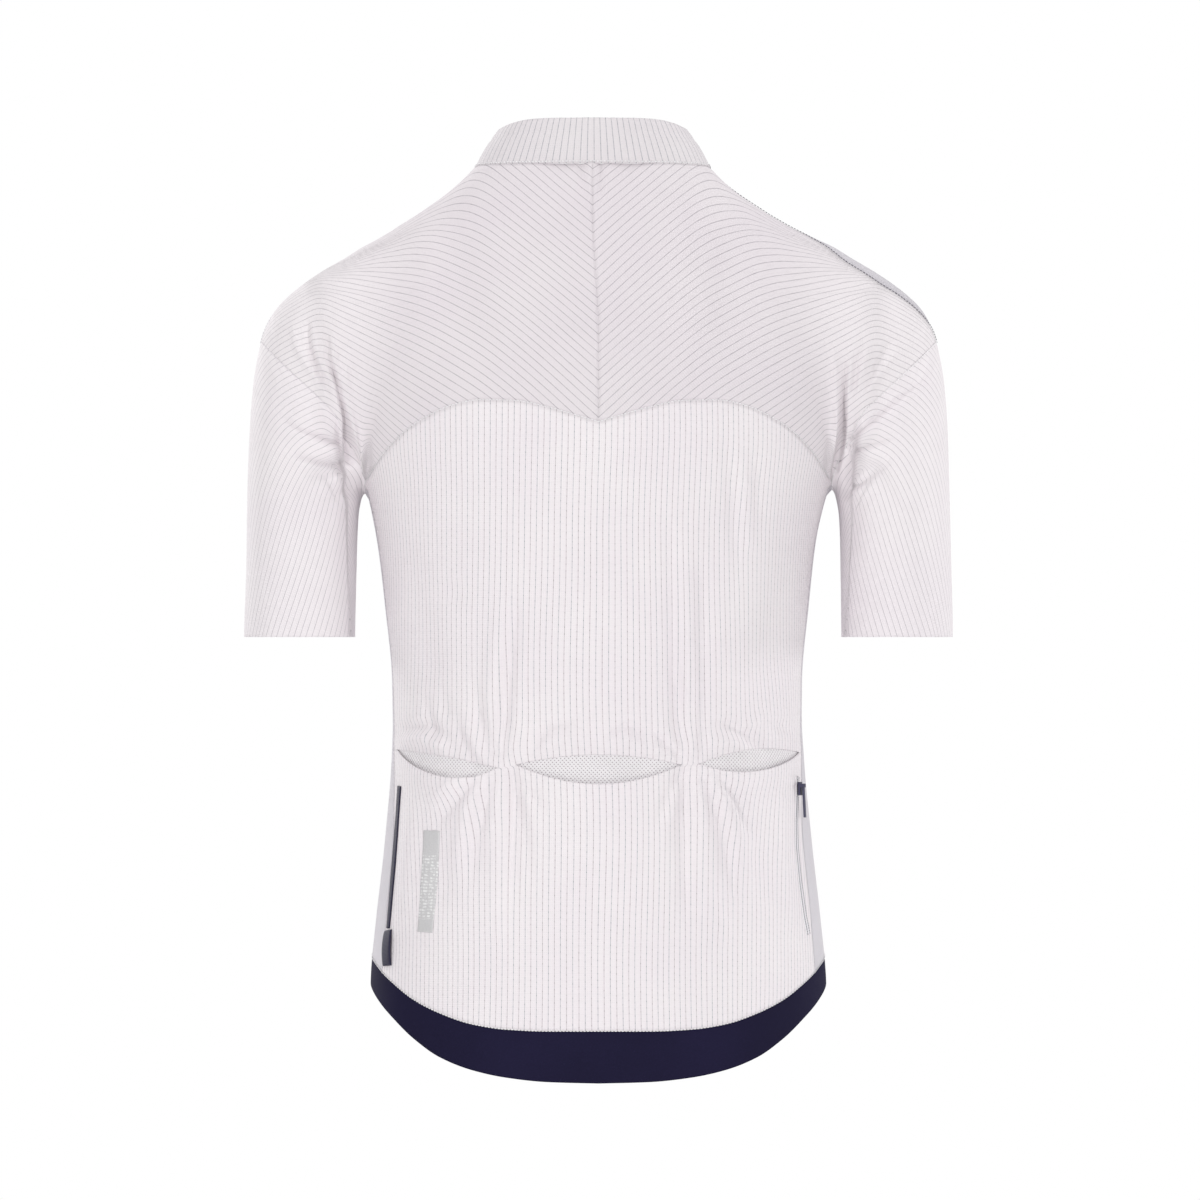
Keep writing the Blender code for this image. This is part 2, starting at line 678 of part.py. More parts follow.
# The pocket linings: mesh behind each mouth, closed to the back at sides and bottom.
for name, x0, z0, x1, z1, up, down in POCKETS:
    side = 1 if name == "left" else -1
    if name == "centre":
        line = np.concatenate([
            -COLUMN_AT[5:0:-1], COLUMN_AT[:6]])
    else:
        line = COLUMN_AT[6:15]
    cols = len(line)
    rows = 8
    mouth = on_column(np.abs(line), np.full(cols, -450.0), side)
    signs = np.where(line < 0, -1, 1) if name == "centre" else np.full(cols, side)
    base_x = mouth[:, 0] * 0
    for k in range(cols):
        base_x[k] = on_column(np.abs(line[k]), -450.0, signs[k])[0]
    t = (base_x - x0) / (x1 - x0)
    t = np.clip(t, 0, 1)
    lens = 4 * t * (1 - t)
    top_z = z0 + (z1 - z0) * t + up * lens + 7
    share = np.linspace(0, 1, rows)[:, None] ** 1.3
    z = top_z + (-450 - POCKET_DEPTH - top_z) * share
    grid = np.stack([around(np.abs(line) * side_behind(zz), zz, 1) for zz in z])
    flip = np.stack([around(np.abs(line) * side_behind(zz), zz, -1) for zz in z])
    grid = np.where(signs[None, :, None] > 0, grid, flip)
    sag = POCKET_SAG * lens[None] ** 0.7 * np.sin(np.pi * np.clip(share, 0, 1)) ** 0.7
    sag = sag + WALL + 0.45
    out = normal(grid)
    grid = grid - out * sag[..., None]
    cloth("pocket_mesh_" + name, grid.reshape(-1, 3), quads_of(rows, cols), CLOTH,
          outward=out.reshape(-1, 3), wall=1.0)

# The front zip's tapes, from the hem's edge to the top of the collar.
for name, side in SIDES:
    zipper = zip_edge(side)
    low = [hem_points(hem_angles()[2], low, side)[-1] for low in (0.5, 1)]
    k = 0 if side > 0 else -1
    high = [collar[2, k], collar[1, k]]
    line = np.concatenate([np.array(high), zipper, np.array(low)])
    inner = line.copy()
    inner[:, 0] = torso_offset(line[:, 2])
    inner[:2, 0] = ZIP_TOP_X
    inner[2:, 1] = face_y(inner[2:, 0], line[2:, 2], -1)[:, 1]
    grid = np.stack([line, inner], 1)
    out = np.repeat(np.array([[0.0, -1.0, 0.0]]), 2 * len(line), 0)
    lift = normal(grid.reshape(-1, 3))
    lift[:, 0] = 0
    lift[:4] = flat[3 * count - 1] * np.array([0, 1, 1])
    lift /= np.linalg.norm(lift, axis=1, keepdims=True)
    cloth("front_zip_tape_" + name, grid.reshape(-1, 3), quads_of(len(line), 2),
          (0.72, 0.71, 0.75), outward=lift)

# --- what is sewn on top ------------------------------------------------------------
trees = BVHTree.FromPolygons(
    [Vector(p) for outer, _ in PANELS for p in outer],
    [tuple(v + sum(len(o) for o, _ in PANELS[:i]) for v in q)
     for i, (_, quads) in enumerate(PANELS) for q in quads])


def on_panels(point):
    """The nearest point of the body panels and their outward direction there."""
    spot, out, _, _ = trees.find_nearest(Vector(point))
    out = np.array(out)
    return np.array(spot), out * np.sign(np.dot(out, normal(np.array(spot))))


def ribbon(name, line, widths, thick, colour, lift=0.4, rough=0.6, metal=0.0, rows=9):
    """A strip laid on the panels along points (x, z), from the first width to the last."""
    line = np.array(line, float)
    t = np.linspace(0, len(line) - 1, rows)
    x = np.interp(t, range(len(line)), line[:, 0])
    z = np.interp(t, range(len(line)), line[:, 1])
    middle = face_y(x, z, 1)
    along = np.gradient(middle, axis=0)
    along /= np.linalg.norm(along, axis=1, keepdims=True)
    across = np.cross(along, normal(middle))
    across /= np.linalg.norm(across, axis=1, keepdims=True)
    wide = max(2, int(round(max(widths) / 3.5)) + 1)
    width = np.linspace(widths[0], widths[1], rows)
    outer, base = [], []
    for k in range(rows):
        for s in np.linspace(-0.5, 0.5, wide):
            spot, out = on_panels(middle[k] + across[k] * width[k] * s)
            base.append(spot + out * lift)
            outer.append(spot + out * (lift + thick))
    grid = quads_of(rows, wide)
    n = rows * wide
    ring = ([wide * k for k in range(rows)] + [wide * (rows - 1) + c for c in range(1, wide)]
            + [wide * k + wide - 1 for k in range(rows - 1)][::-1]
            + list(range(1, wide - 1))[::-1])
    faces = [tuple(q) for q in grid] + [tuple(n + v for v in q[::-1]) for q in grid]
    faces += [(ring[k], ring[(k + 1) % len(ring)], n + ring[(k + 1) % len(ring)], n + ring[k])
              for k in range(len(ring))]
    points = np.concatenate([np.array(outer), np.array(base)])
    flat = face_normals(points, grid)
    if (flat[:n] * normal(middle.repeat(wide, 0))).sum() < 0:
        faces = [f[::-1] for f in faces]
    return add(name, points, faces, colour, rough, metal)


ribbon("side_strip_left", ((147.6, -468), (157.4, -573.5)), (8.4, 5.4), 1.0, NAVY,
       lift=0.5, rows=9)
ribbon("side_label_left", ((157.2, -576), (158.0, -601.5)), (12.0, 12.0), 1.2, NAVY, rows=3)
ribbon("reflective_patch", ((122.6, -501), (129.5, -576)), (14.6, 14.6), 0.8,
       (0.55, 0.56, 0.58), rough=0.35, metal=0.4, rows=6)
ribbon("pocket_zip_tape", ((-147.8, -461), (-147.0, -492), (-147.6, -512), (-150.5, -539),
                           (-154, -565), (-156.6, -578)), (6.0, 6.0), 0.9,
       (0.62, 0.62, 0.68), rows=10)


# --- zip sliders and their pulls ------------------------------------------------------
def prism(profile, hole, half_width, frame, at):
    """A plate with a round hole, swept sideways by half_width each way."""
    n = len(profile)
    faces, points = [], []
    for x in (-half_width, half_width):
        for a, b in profile:
            points.append(at + frame @ np.array([x, a, b]))
        for a, b in hole:
            points.append(at + frame @ np.array([x, a, b]))
    m = 2 * n
    for k in range(n):
        j = (k + 1) % n
        faces += [(k, j, n + j, n + k), (m + j, m + k, m + n + k, m + n + j)]
        faces += [(j, k, m + k, m + j), (n + k, n + j, m + n + j, m + n + k)]
    return np.array(points), faces


def box(low, high):
    """A box's corners and faces."""
    points = [(x, y, z) for x in (low[0], high[0]) for y in (low[1], high[1])
              for z in (low[2], high[2])]
    return points, [(0, 1, 3, 2), (4, 6, 7, 5), (0, 4, 5, 1), (2, 3, 7, 6), (0, 2, 6, 4),
                    (1, 5, 7, 3)]


def slider(name, spot, out, up, body_half, length, pull_length, metal_colour, scale=1.0):
    """A slider with two ears and a pin, and its pull, which turns on that pin.

    The body's half width and length are its own; scale makes the ears, the pin and the
    height of the whole smaller.
    """
    out = out / np.linalg.norm(out)
    up = up - out * np.dot(up, out)
    up = up / np.linalg.norm(up)
    across = np.cross(up, out)
    frame = np.stack([across, up, out], 1)
    pin_up, pin_out, ear, thin = length * 0.22, 5.0 * scale, 2.35 * scale, 1.2 * scale
    foot, head = 2.4 * scale, 6.2 * scale
    parts = [
        box((-body_half, -length / 2, 0.35), (body_half, length / 2, 2.9 * scale)),
        box((ear, pin_up - 1.4, foot), (ear + thin, pin_up + 1.4, head)),
        box((-ear - thin, pin_up - 1.4, foot), (-ear, pin_up + 1.4, head)),
    ]
    ring = [(0.55 * math.cos(a), 0.55 * math.sin(a)) for a in np.linspace(0, 2 * math.pi, 13)[:-1]]
    pin = [(x, pin_up + a, pin_out + b) for x in (-ear - thin / 2, ear + thin / 2) for a, b in ring]
    sides = [(k, (k + 1) % 12, 12 + (k + 1) % 12, 12 + k) for k in range(12)]
    parts.append((pin, sides + [tuple(range(11, -1, -1)), tuple(range(12, 24))]))
    made = []
    for k, (points, faces) in enumerate(parts):
        points = np.array([spot + frame @ np.array(p) for p in points])
        one = add(name + "_slider" if k == 0 else "piece", points, faces, metal_colour, 0.4, 0.3)
        flip(one)
        made.append(one)
    for other in made[1:]:
        join = made[0].modifiers.new("join", "BOOLEAN")
        join.operation, join.solver, join.object = "UNION", "EXACT", other
        bpy.context.view_layer.update()
        graph = bpy.context.evaluated_depsgraph_get()
        mesh = bpy.data.meshes.new_from_object(made[0].evaluated_get(graph))
        made[0].modifiers.clear()
        made[0].data = mesh
        bpy.data.objects.remove(other, do_unlink=True)
    # the pull: an eye round the pin and a flat tab that hangs from it
    eye = [(1.35 * math.cos(a), 1.35 * math.sin(a)) for a in np.radians(np.linspace(-152, 152, 13))]
    profile = eye + [(-pull_length, 0.65), (-pull_length, -0.65)]
    hole_turns = list(np.linspace(-152, 152, 13)) + [168, 192]
    hole = [(0.85 * math.cos(math.radians(a)), 0.85 * math.sin(math.radians(a)))
            for a in hole_turns]
    pivot = spot + frame @ np.array([0, pin_up, pin_out])
    points, faces = prism(profile, hole, ear - 0.4, frame, pivot)
    pull = add(name + "_pull", points, faces, metal_colour, 0.45, 0.1, origin=pivot)
    flip(pull)
    return pivot, across


def flip(made):
    """Turns a mesh's faces outwards."""
    mesh = made.data
    volume = 0.0
    for face in mesh.polygons:
        v = [mesh.vertices[i].co for i in face.vertices]
        for k in range(1, len(v) - 1):
            volume += v[0].cross(v[k]).dot(v[k + 1])
    if volume < 0:
        mesh.flip_normals()


top_front = (collar[2, 0] + collar[2, -1]) / 2
low_front = (collar[1, 0] + collar[1, -1]) / 2
up = top_front - low_front
out = np.cross(np.array([1.0, 0, 0]), up)
out *= -np.sign(out[1])
PIVOT_FRONT = slider("front_zip", top_front * 0.62 + low_front * 0.38, out, up, 4.2, 12, 22,
                     (0.45, 0.45, 0.5))
spot, out = on_panels(face_y(-147.4, -469.5, 1))
PIVOT_POCKET = slider("pocket_zip", spot + out * 1.25, out, np.array([0.0, 0, 1]), 2.7, 10, 24,
                      NAVY, scale=0.8)
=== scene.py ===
"""Cycling jersey: the dressed model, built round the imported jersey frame.

Sizes are in millimetres in the tables and turned into metres when a mesh is made.
+X is the wearer's left, -Y the front, +Z up; the origin is the middle of the neck
opening, at the height of the collar seam at the centre back.
"""
import math

import bmesh
import bpy
import numpy as np
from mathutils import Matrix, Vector
from mathutils.bvhtree import BVHTree
from mathutils.kdtree import KDTree


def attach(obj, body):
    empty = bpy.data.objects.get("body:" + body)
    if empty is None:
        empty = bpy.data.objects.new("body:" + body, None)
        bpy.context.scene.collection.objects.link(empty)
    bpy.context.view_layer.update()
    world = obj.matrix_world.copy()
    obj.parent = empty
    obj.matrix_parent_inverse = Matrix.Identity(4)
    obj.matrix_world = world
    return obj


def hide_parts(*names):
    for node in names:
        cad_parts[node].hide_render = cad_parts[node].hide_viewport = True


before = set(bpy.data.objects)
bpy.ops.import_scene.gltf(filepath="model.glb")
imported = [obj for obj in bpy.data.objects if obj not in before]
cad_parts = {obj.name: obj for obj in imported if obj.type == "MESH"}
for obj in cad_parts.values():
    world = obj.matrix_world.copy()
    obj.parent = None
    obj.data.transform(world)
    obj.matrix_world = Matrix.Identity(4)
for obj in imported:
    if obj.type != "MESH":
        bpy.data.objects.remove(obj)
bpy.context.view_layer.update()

bl_info = {
    "name": "Cycling Jersey",
    "version": (1, 0, 0),
    "blender": (4, 5, 0),
    "location": "3D View > Sidebar > Jersey",
    "description": "Dresses a short-sleeved cycling jersey: cloth, seams, zips and trim",
    "category": "Add Mesh",
}

MM = 0.001
SEAM_GAP = 0.3  # between two pieces at a seam
TAPE_HALF = 7.0  # half the front zip's width between the two fronts
ARMPIT_X, ARMPIT_HALF = 175.2, 17  # the seam under the arm: its place, half its length
NECK_SIDE_Z = -2  # where the collar meets the shoulder seam
SHOULDER_Z = -134  # the shoulder's point
ZIP_TOP_Z = -75.0
CHEST_Z = -240  # the fronts are made in two parts that meet here
MOUTH_Z = -450.0  # about where the pocket mouths are
CORNER_Z = -600.0  # about where the side seams meet the hem band
SLEEVE_HEM_Z = -355.5
SLEEVE_TOP_Z = -54  # above it a sleeve fades into the body
COLLAR_RISE = 34.0
COLLAR_MIDDLE_Y = -8.0
POCKET_DEPTH = 150.0
POCKET_BULGE = 7.5
LINING_SAG = 1.6
GROOVE = 0.06  # how deep a sewn edge is drawn in
KNIT_GAP = 10.0  # one repeat of the plain knit's map
CROSS_GAP = 5.1  # from one cross thread of the back to the next
BEYOND = 200  # farther out than the face is anywhere
LONGEST_MOVE, LEAST_SLOPE = 12, 0.05  # they keep points steady as they settle
# Coarse steps along the seams, which each panel multiplies: half the neck, the shoulder,
# the armhole, down to the mouths, on to the hem, under the arm and across a front.
NECK, SHOULDER, ARMHOLE, TO_MOUTH, TO_HEM, UNDER, ACROSS = 6, 10, 8, 10, 7, 4, 16
PROBE = 0.4  # the step that finds the form's slope
UNEVENNESS = 0.28  # a soft waviness all over the cloth
SIDES = (("left", 1), ("right", -1))

# The body's section at a height: half width, depth behind and before the middle,
# sideways offset of the middle, and squareness (2 is an ellipse).
TORSO = (
    # z,   half, back, front, offset, square
    (20, 74.0, 44, 30, 4.5, 2.05),
    (0, 86.5, 52, 38, 4.3, 2.1),
    (-9, 94.5, 55, 42, 4.4, 2.1),
    (-18, 104.5, 58, 46, 4.5, 2.1),
    (-36, 129.5, 65, 54, 4.5, 2.1),
    (-54, 156.0, 72, 62, 4.0, 2.15),
    (-75, 170.0, 81, 73, 2.6, 2.2),
    (-100, 181.0, 91, 87, 1.0, 2.3),
    (-135, 187.0, 102, 101, 0.0, 2.35),
    (-170, 188.0, 110, 110, 0.0, 2.4),
    (-210, 184.0, 115, 117, 0.0, 2.4),
    (-245, 173.5, 116, 119, 0.8, 2.35),
    (-283, 165.0, 115, 117, 1.5, 2.3),
    (-330, 159.3, 111, 112, 1.5, 2.25),
    (-388, 154.3, 106, 106, 1.2, 2.2),
    (-418, 154.0, 105, 104, 1.0, 2.2),
    (-448, 155.2, 106, 104, 0.5, 2.2),
    (-508, 160.5, 111, 106, 0.0, 2.2),
    (-568, 167.0, 116, 108, 0.0, 2.2),
    (-620, 171.0, 119, 110, 0.0, 2.2),
    (-700, 171.5, 120, 110, 0.0, 2.2),
)
# A sleeve's section at a height, and how softly it runs into the body there.
ARM = (
    # z,   inner, outer, half depth, middle y, square, blend
    (-30, 92, 108, 9, 0, 2.0, 12),
    (-45, 98, 133, 16, 0, 2.0, 16),
    (-54, 103, 155, 23, 1, 2.05, 18),
    (-63, 108, 177, 29, 1, 2.1, 20),
    (-72, 112, 192, 33, 2, 2.1, 20),
    (-81, 116, 207.5, 38, 2, 2.15, 21),
    (-90, 120, 221, 42, 2, 2.15, 22),
    (-99, 124, 232.5, 46, 3, 2.2, 23),
    (-108, 128, 241.5, 49, 3, 2.2, 24),
    (-117, 132, 247.5, 51.5, 3, 2.2, 25),
    (-126, 136, 251.5, 53.5, 3, 2.2, 26),
    (-135, 140, 254, 55, 3, 2.2, 26),
    (-162, 150, 259, 57.5, 2, 2.2, 22),
    (-189, 159, 261.5, 58, 1, 2.2, 18),
    (-216, 168, 263, 57, 0, 2.2, 12),
    (-243, 176, 264, 55, -1, 2.2, 8),
    (-265, 180.5, 264.5, 53.5, -2, 2.2, 6),
    (-300, 182, 265, 51, -3, 2.2, 4),
    (-356, 183, 266.5, 48, -5, 2.2, 4),
    (-420, 183, 266.5, 48, -5, 2.2, 4),
)
# The collar seam in front, from the shoulder to the zip.
NECK_FRONT = (
    # way, x, z
    (0.00, 87.0, -2),
    (0.17, 83.5, -14),
    (0.34, 75.5, -33),
    (0.52, 61.0, -50),
    (0.70, 42.0, -63.5),
    (0.86, 22.5, -72),
    (1.00, TAPE_HALF, ZIP_TOP_Z),
)
# The shoulder seam runs over the top of the shoulder; behind is its y at a height.
SHOULDER_SEAM = {
    # z, behind
    "left": ((-2, -9), (-40, -9), (-80, -8), (-110, -6), (-134, 1)),
    "right": ((-2, -9), (-28, -5), (-46, 5), (-62, 17), (-80, 27), (-95, 29),
              (-110, 24), (-122, 13), (-134, 2)),
}
# The sleeve seam behind and in front, from the shoulder's point to the armpit.
SLEEVE_SEAM = {
    # way, x, z
    "back": ((0, 253.5, -134), (0.13, 240, -148), (0.27, 225, -162), (0.4, 212, -174),
             (0.52, 199, -187), (0.66, 188, -204), (0.82, 180.5, -221), (1, ARMPIT_X, -239)),
    "front": ((0, 253.5, -134), (0.14, 238, -147), (0.3, 219, -162), (0.46, 203, -179),
              (0.64, 190, -201), (0.82, 181, -222), (1, ARMPIT_X, -239)),
}
# The seam between yoke and back, from the centre outwards.
YOKE_SEAM = (
    # x, z
    (0, -194.5), (15, -190), (36, -184), (63, -178.5), (88, -178), (108, -181.5),
    (127, -189.5), (146, -202), (157, -213), (165, -223), (171, -233), (177, -241),
)
# Where the side panel starts and ends, as an angle from the centre back.
SIDE_SEAMS = (
    # z, behind, front
    (-236, 84.0, 96.0),
    (-300, 84.0, 100),
    (-400, 83.0, 105),
    (-440, 81.0, 106),
    (-470, 76.5, 107),
    (-510, 72.0, 108),
    (-560, 71.5, 109),
    (-620, 71.0, 110),
    (-700, 71.0, 110),
)
# The hem band's upper and lower edge at an angle from the centre back.
HEM = (
    # angle, seam, edge
    (0, -650, -689),
    (11, -650, -688),
    (21.6, -648.7, -684.8),
    (31.2, -645, -679.5),
    (42.2, -636.7, -669.8),
    (51.9, -627.5, -657),
    (64.7, -613, -639),
    (80.8, -599, -621.5),
    (90, -595, -615),
    (110, -588, -606),
    (140, -577, -596),
    (180, -570, -590),
)
# A pocket's mouth: two ends, how far its upper lip arches up and its lower one sags.
POCKETS = (
    # name, x and z of one end, x and z of the other, up, down
    ("left", 75.5, -453.5, 151, -440, 1.5, 14.0),
    ("centre", -62, -451, 62, -451, 7.5, 15.0),
    ("right", -75.5, -450.5, -151, -442, 6.5, 10.5),
)
# Soft creases and folds: half width, then points (x, z) with a height in millimetres.
# Behind, over the back half; before, over the front half.
FOLDS_BEHIND = (
    # left armhole and sleeve
    (3.0, ((229, -118, 0), (228, -126, 1.4), (226, -138, 2), (216, -155, 2.2), (208, -166, 1.6),
           (200, -178, 0))),
    (1.9, ((218, -116, 0), (218, -126, -2.7), (216.5, -138, -3.5), (213, -149, -3.2),
           (207, -163, -2.7), (199, -176, 0))),
    (2.4, ((214.5, -118, 0), (214, -134, 2), (208.5, -149, 2.2), (199, -164, 2),
           (193, -178, 0))),
    (1.9, ((203, -124, 0), (203, -134, -2.7), (202, -146, -3.5), (198, -160, -3.5),
           (193, -170, -2.2))),
    (2.2, ((199.5, -126, 0), (199, -145, 2.7), (195, -160, 2.4), (192, -168, 0))),
    (1.6, ((200, -150, 0), (197.5, -160, -3.5), (194.5, -172, -5), (191, -184, -7),
           (188.5, -194, -8), (186.5, -204, -9), (184.5, -214, -9), (182.5, -226, -7))),
    (2.6, ((189, -138, 0), (189.5, -152, 1.6), (188, -168, 1.4), (185, -184, 0))),
    (5.5, ((196, -190, -1), (192, -202, -6), (189, -214, -8), (187, -228, -8),
           (185, -244, -4))),
    (2.2, ((188, -180, 0), (184.5, -194, 2), (182, -206, 2.6), (179.5, -218, 2.6),
           (177, -230, 1.4))),
    (1.9, ((240, -190, 0), (230, -197, -3), (216, -203, -4.1), (203, -208, -4.3),
           (190, -212, -4.1))),
    (4.2, ((236, -198, 0), (222, -206, 1.6), (206, -213, 2), (193, -217, 1.6))),
    (1.9, ((235, -215, 0), (224, -220, -3), (210, -224, -3.8), (197, -227, -4.1),
           (187, -227, -3.2))),
    (4.6, ((230, -222, 0), (214, -229, 1.5), (198, -232, 1.8), (187, -232, 1.2))),
    (2.2, ((220, -235, 0), (206, -234, -2.7), (195, -232, -3.2), (186, -230, -2.2))),
    (5.0, ((214, -243, 0), (200, -241, 1.2), (188, -238, 1))),
    (6.0, ((212, -254, 0), (199, -251, -1.4), (186, -246, -2.2))),
    (7.0, ((206, -268, 0), (196, -270, 1), (188, -270, 0))),
    (9.0, ((242, -178, 0), (234, -188, -1.4), (230, -199, 0))),
    # right armhole and sleeve
    (2.6, ((-176, -134, 0), (-177, -150, 1.4), (-178, -168, 2), (-178, -186, 2),
           (-176, -204, 1.4))),
    (1.6, ((-184, -146, 0), (-184.5, -160, -3.5), (-184, -172, -5), (-183.5, -184, -7),
           (-183, -196, -9), (-181.5, -208, -9), (-179.5, -220, -8), (-177, -232, -4))),
    (2.4, ((-190, -132, 0), (-189, -148, 1.8), (-188, -166, 2.2), (-187.5, -184, 1.6),
           (-188, -196, 0))),
    (1.9, ((-199, -128, 0), (-196, -142, -1.8), (-193, -156, -2.4), (-191, -170, -1.6))),
    (2.4, ((-206, -128, 0), (-201, -146, 1.8), (-196, -162, 2.2), (-192, -178, 1.4))),
    (1.9, ((-222, -130, 0), (-214, -142, -1.8), (-208, -154, -2.2), (-200, -168, -1.2))),
    (2.6, ((-229, -134, 0), (-219, -148, 1.5), (-208, -163, 1.8), (-198, -178, 0.8))),
    (1.9, ((-248, -158, 0), (-236, -169, -1.8), (-221, -181, -3), (-206, -193, -3.4),
           (-194, -202, -3.6), (-187, -208, -3))),
    (4.4, ((-243, -168, 0), (-230, -179, 1.4), (-213, -193, 2), (-198, -206, 1.8))),
    (1.9, ((-227, -205, 0), (-214, -208, -2), (-202, -212, -2.8), (-191, -216, -3.2),
           (-185, -216, -3))),
    (4.4, ((-226, -213, 0), (-210, -218, 1.5), (-195, -224, 1.8))),
    (1.9, ((-222, -221, 0), (-213, -228, -2.2), (-203, -236, -3), (-194, -242, -3.2),
           (-187, -244, -2))),
    (5.0, ((-214, -234, 0), (-206, -240, 1.4), (-197, -246, 1.8), (-189, -250, 1.2))),
    (8.0, ((-189, -253, -1.8), (-190, -272, -1.8), (-189, -290, -0.9))),
    (5.5, ((-190, -188, -1), (-188.5, -202, -5), (-187, -216, -8), (-185, -230, -8),
           (-184, -246, -4))),
    (2.2, ((-179, -180, 0), (-178.5, -194, 2), (-177, -206, 2.6), (-175, -218, 2.6),
           (-173, -230, 1.4))),
    # beside the centre seam, under the collar
    (2.6, ((12.5, -1, -2.24), (12.2, -14, -2.38), (11.8, -27, 0))),
    (2.6, ((-1.5, -1, -2.52), (-1.2, -18, -2.8), (-1, -36, 0))),
    (5.0, ((5.5, -1, 1.12), (5.5, -20, 1.12), (5, -36, 0))),
    (16, ((26, -4, -1.96), (34, -24, 0))),
    (16, ((-24, -4, -1.96), (-32, -24, 0))),
    # hollows over the shoulder blades
    (17, ((113, -36, -2.1), (107, -72, -3.64), (104, -112, -2.24), (100, -150, 0))),
    (17, ((-92, -36, -2.1), (-97, -72, -3.64), (-101, -112, -3.08), (-104, -160, 0))),
    (15, ((78, -80, 0), (72, -120, 1.68), (74, -160, 0))),
    (15, ((-68, -80, 0), (-70, -120, 1.96), (-76, -165, 0))),
    (9, ((40, -118, 0), (22, -130, -1.4), (8, -132, -1.4), (-6, -124, 0))),
    # from the left pair of mouth corners upwards
    (4.2, ((61, -322, 0), (64, -350, -3.3), (67.5, -380, -4.7), (71, -419, -5.1),
           (72.5, -440, -3.1))),
    (7, ((72, -326, 0), (77, -360, 3.5), (80, -400, 4.3), (80, -436, 2.4))),
    (7, ((52, -350, 0), (56, -385, 2.5), (60, -420, 2.9), (64, -440, 1.2))),
    (4, ((93, -385, 0), (89, -412, -3.7), (81, -441, -4.3))),
    (4.5, ((101, -404, 0), (98, -425, 2.7), (90, -443, 2.4))),
    (3.6, ((108, -410, 0), (103, -430, -2.9), (94, -447, -2.4))),
    # from the left pair of mouth corners downwards
    (3.8, ((66, -457, -3.5), (64, -480, -4.5), (63, -520, -3.9), (62, -565, 0))),
    (7, ((75, -456, 3.5), (76, -480, 4.5), (76, -520, 3.7), (77, -575, 1.6))),
    (4.2, ((80, -464, -3.1), (87, -488, -4.7), (93, -513, -4.3), (97, -550, 0))),
    (5, ((88, -462, 2.7), (98, -484, 3.9), (104, -506, 2.9), (108, -540, 0))),
    (4.2, ((92, -463, -2.7), (104, -474, -4.3), (116, -489, -3.1), (124, -500, 0))),
    (4.5, ((98, -459, 1.6), (112, -466, 2.7), (124, -476, 1.4))),
    (3.6, ((59, -463, -2.7), (48, -476, -2.9), (35, -490, 0))),
    (4.5, ((60, -474, -2.4), (55, -510, -3.1), (50, -550, 0))),
    (5, ((58, -462, 2), (50, -488, 2.2), (44, -515, 0))),
    # from the right pair of mouth corners upwards
    (4.4, ((-53, -262, 0), (-54, -300, -2.7), (-56, -371, -3.9), (-60, -412, -4.5),
           (-64, -440, -2.7))),
    (7, ((-64, -262, 0), (-66, -320, 3.5), (-68, -380, 4.5), (-71, -436, 2.7))),
    (6, ((-77, -285, 0), (-78, -330, -2.7), (-78, -385, -3.5), (-76, -436, -2.4))),
    (5, ((-94, -205, 0), (-99, -235, -3.1), (-103, -285, -2.4), (-106, -320, 0))),
    (5, ((-106, -205, 0), (-110, -240, 2.9), (-113, -285, 1.6))),
    (4.4, ((-115, -208, 0), (-119, -240, -2.4), (-121, -280, 0))),
    (5, ((-44, -395, 0), (-47, -420, 2.4), (-56, -443, 2))),
    # from the right pair of mouth corners downwards
    (3.8, ((-65, -455, -3.5), (-64, -482, -4.5), (-65, -530, -3.9), (-66, -575, 0))),
    (7, ((-74, -456, 3.5), (-76, -486, 4.3), (-79, -530, 3.5), (-82, -580, 1.2))),
    (4.2, ((-79, -462, -3.1), (-87, -482, -4.7), (-95, -510, -4.3), (-101, -545, -1.6))),
    (5, ((-86, -460, 2.7), (-97, -482, 3.9), (-105, -508, 3.1), (-112, -545, 0))),
    (4.2, ((-90, -461, -2.7), (-103, -476, -3.9), (-112, -498, -2.5))),
    (5, ((-84, -545, 0), (-92, -570, 2.5), (-96, -590, 0))),
    (3.6, ((-59, -461, -2.7), (-51, -478, -2.9), (-42, -503, 0))),
    (5, ((-58, -470, 2), (-50, -500, 2), (-45, -530, 0))),
    # over the middle mouth
    (3.6, ((56, -446, 0), (47, -436, -3.7), (38, -424, -3.7), (20, -420, -2.9), (6, -424, 0))),
    (5, ((50, -441, 1.6), (36, -434, 3.3), (20, -431, 2.7), (4, -436, 0))),
    (3.2, ((7, -385, 0), (6.4, -410, -2.2), (6, -440, 0))),
    (3.6, ((-4, -440, 0), (-12, -428, -3.1), (-22, -423, -3.7), (-34, -431, -2.9),
           (-40, -441, 0))),
    (5, ((-12, -438, 1.6), (-22, -432, 3.3), (-30, -438, 1.6))),
    (3.4, ((-36, -424, 0), (-47, -432, -3.7), (-60, -445, -2.9))),
    (4.4, ((-34, -434, 1.6), (-45, -441, 2.4), (-54, -447, 0))),
    # over the side mouths
    (4.4, ((153, -430, 0), (144, -424, -3.3), (128, -421, -3.7), (116, -428, -2.7),
           (108, -440, -1.6))),
    (5, ((146, -433, 2.4), (130, -431, 3.7), (118, -438, 2.4))),
    (3.4, ((132, -395, 0), (128, -412, -2.4), (124, -430, -2.9))),
    (4, ((118, -390, 0), (115, -410, -2.4), (110, -430, 0))),
    (4.4, ((-84, -424, 0), (-95, -421, -3.1), (-110, -428, -3.9), (-121, -437, -2.4))),
    (5, ((-88, -432, 2.4), (-101, -435, 3.5), (-113, -441, 1.6))),
    (4, ((-124, -408, 0), (-118, -420, 2.4), (-108, -424, 1.6))),
    (4.6, ((-128, -420, 0), (-138, -422, -2.5), (-146, -428, 0))),
    # down the sides
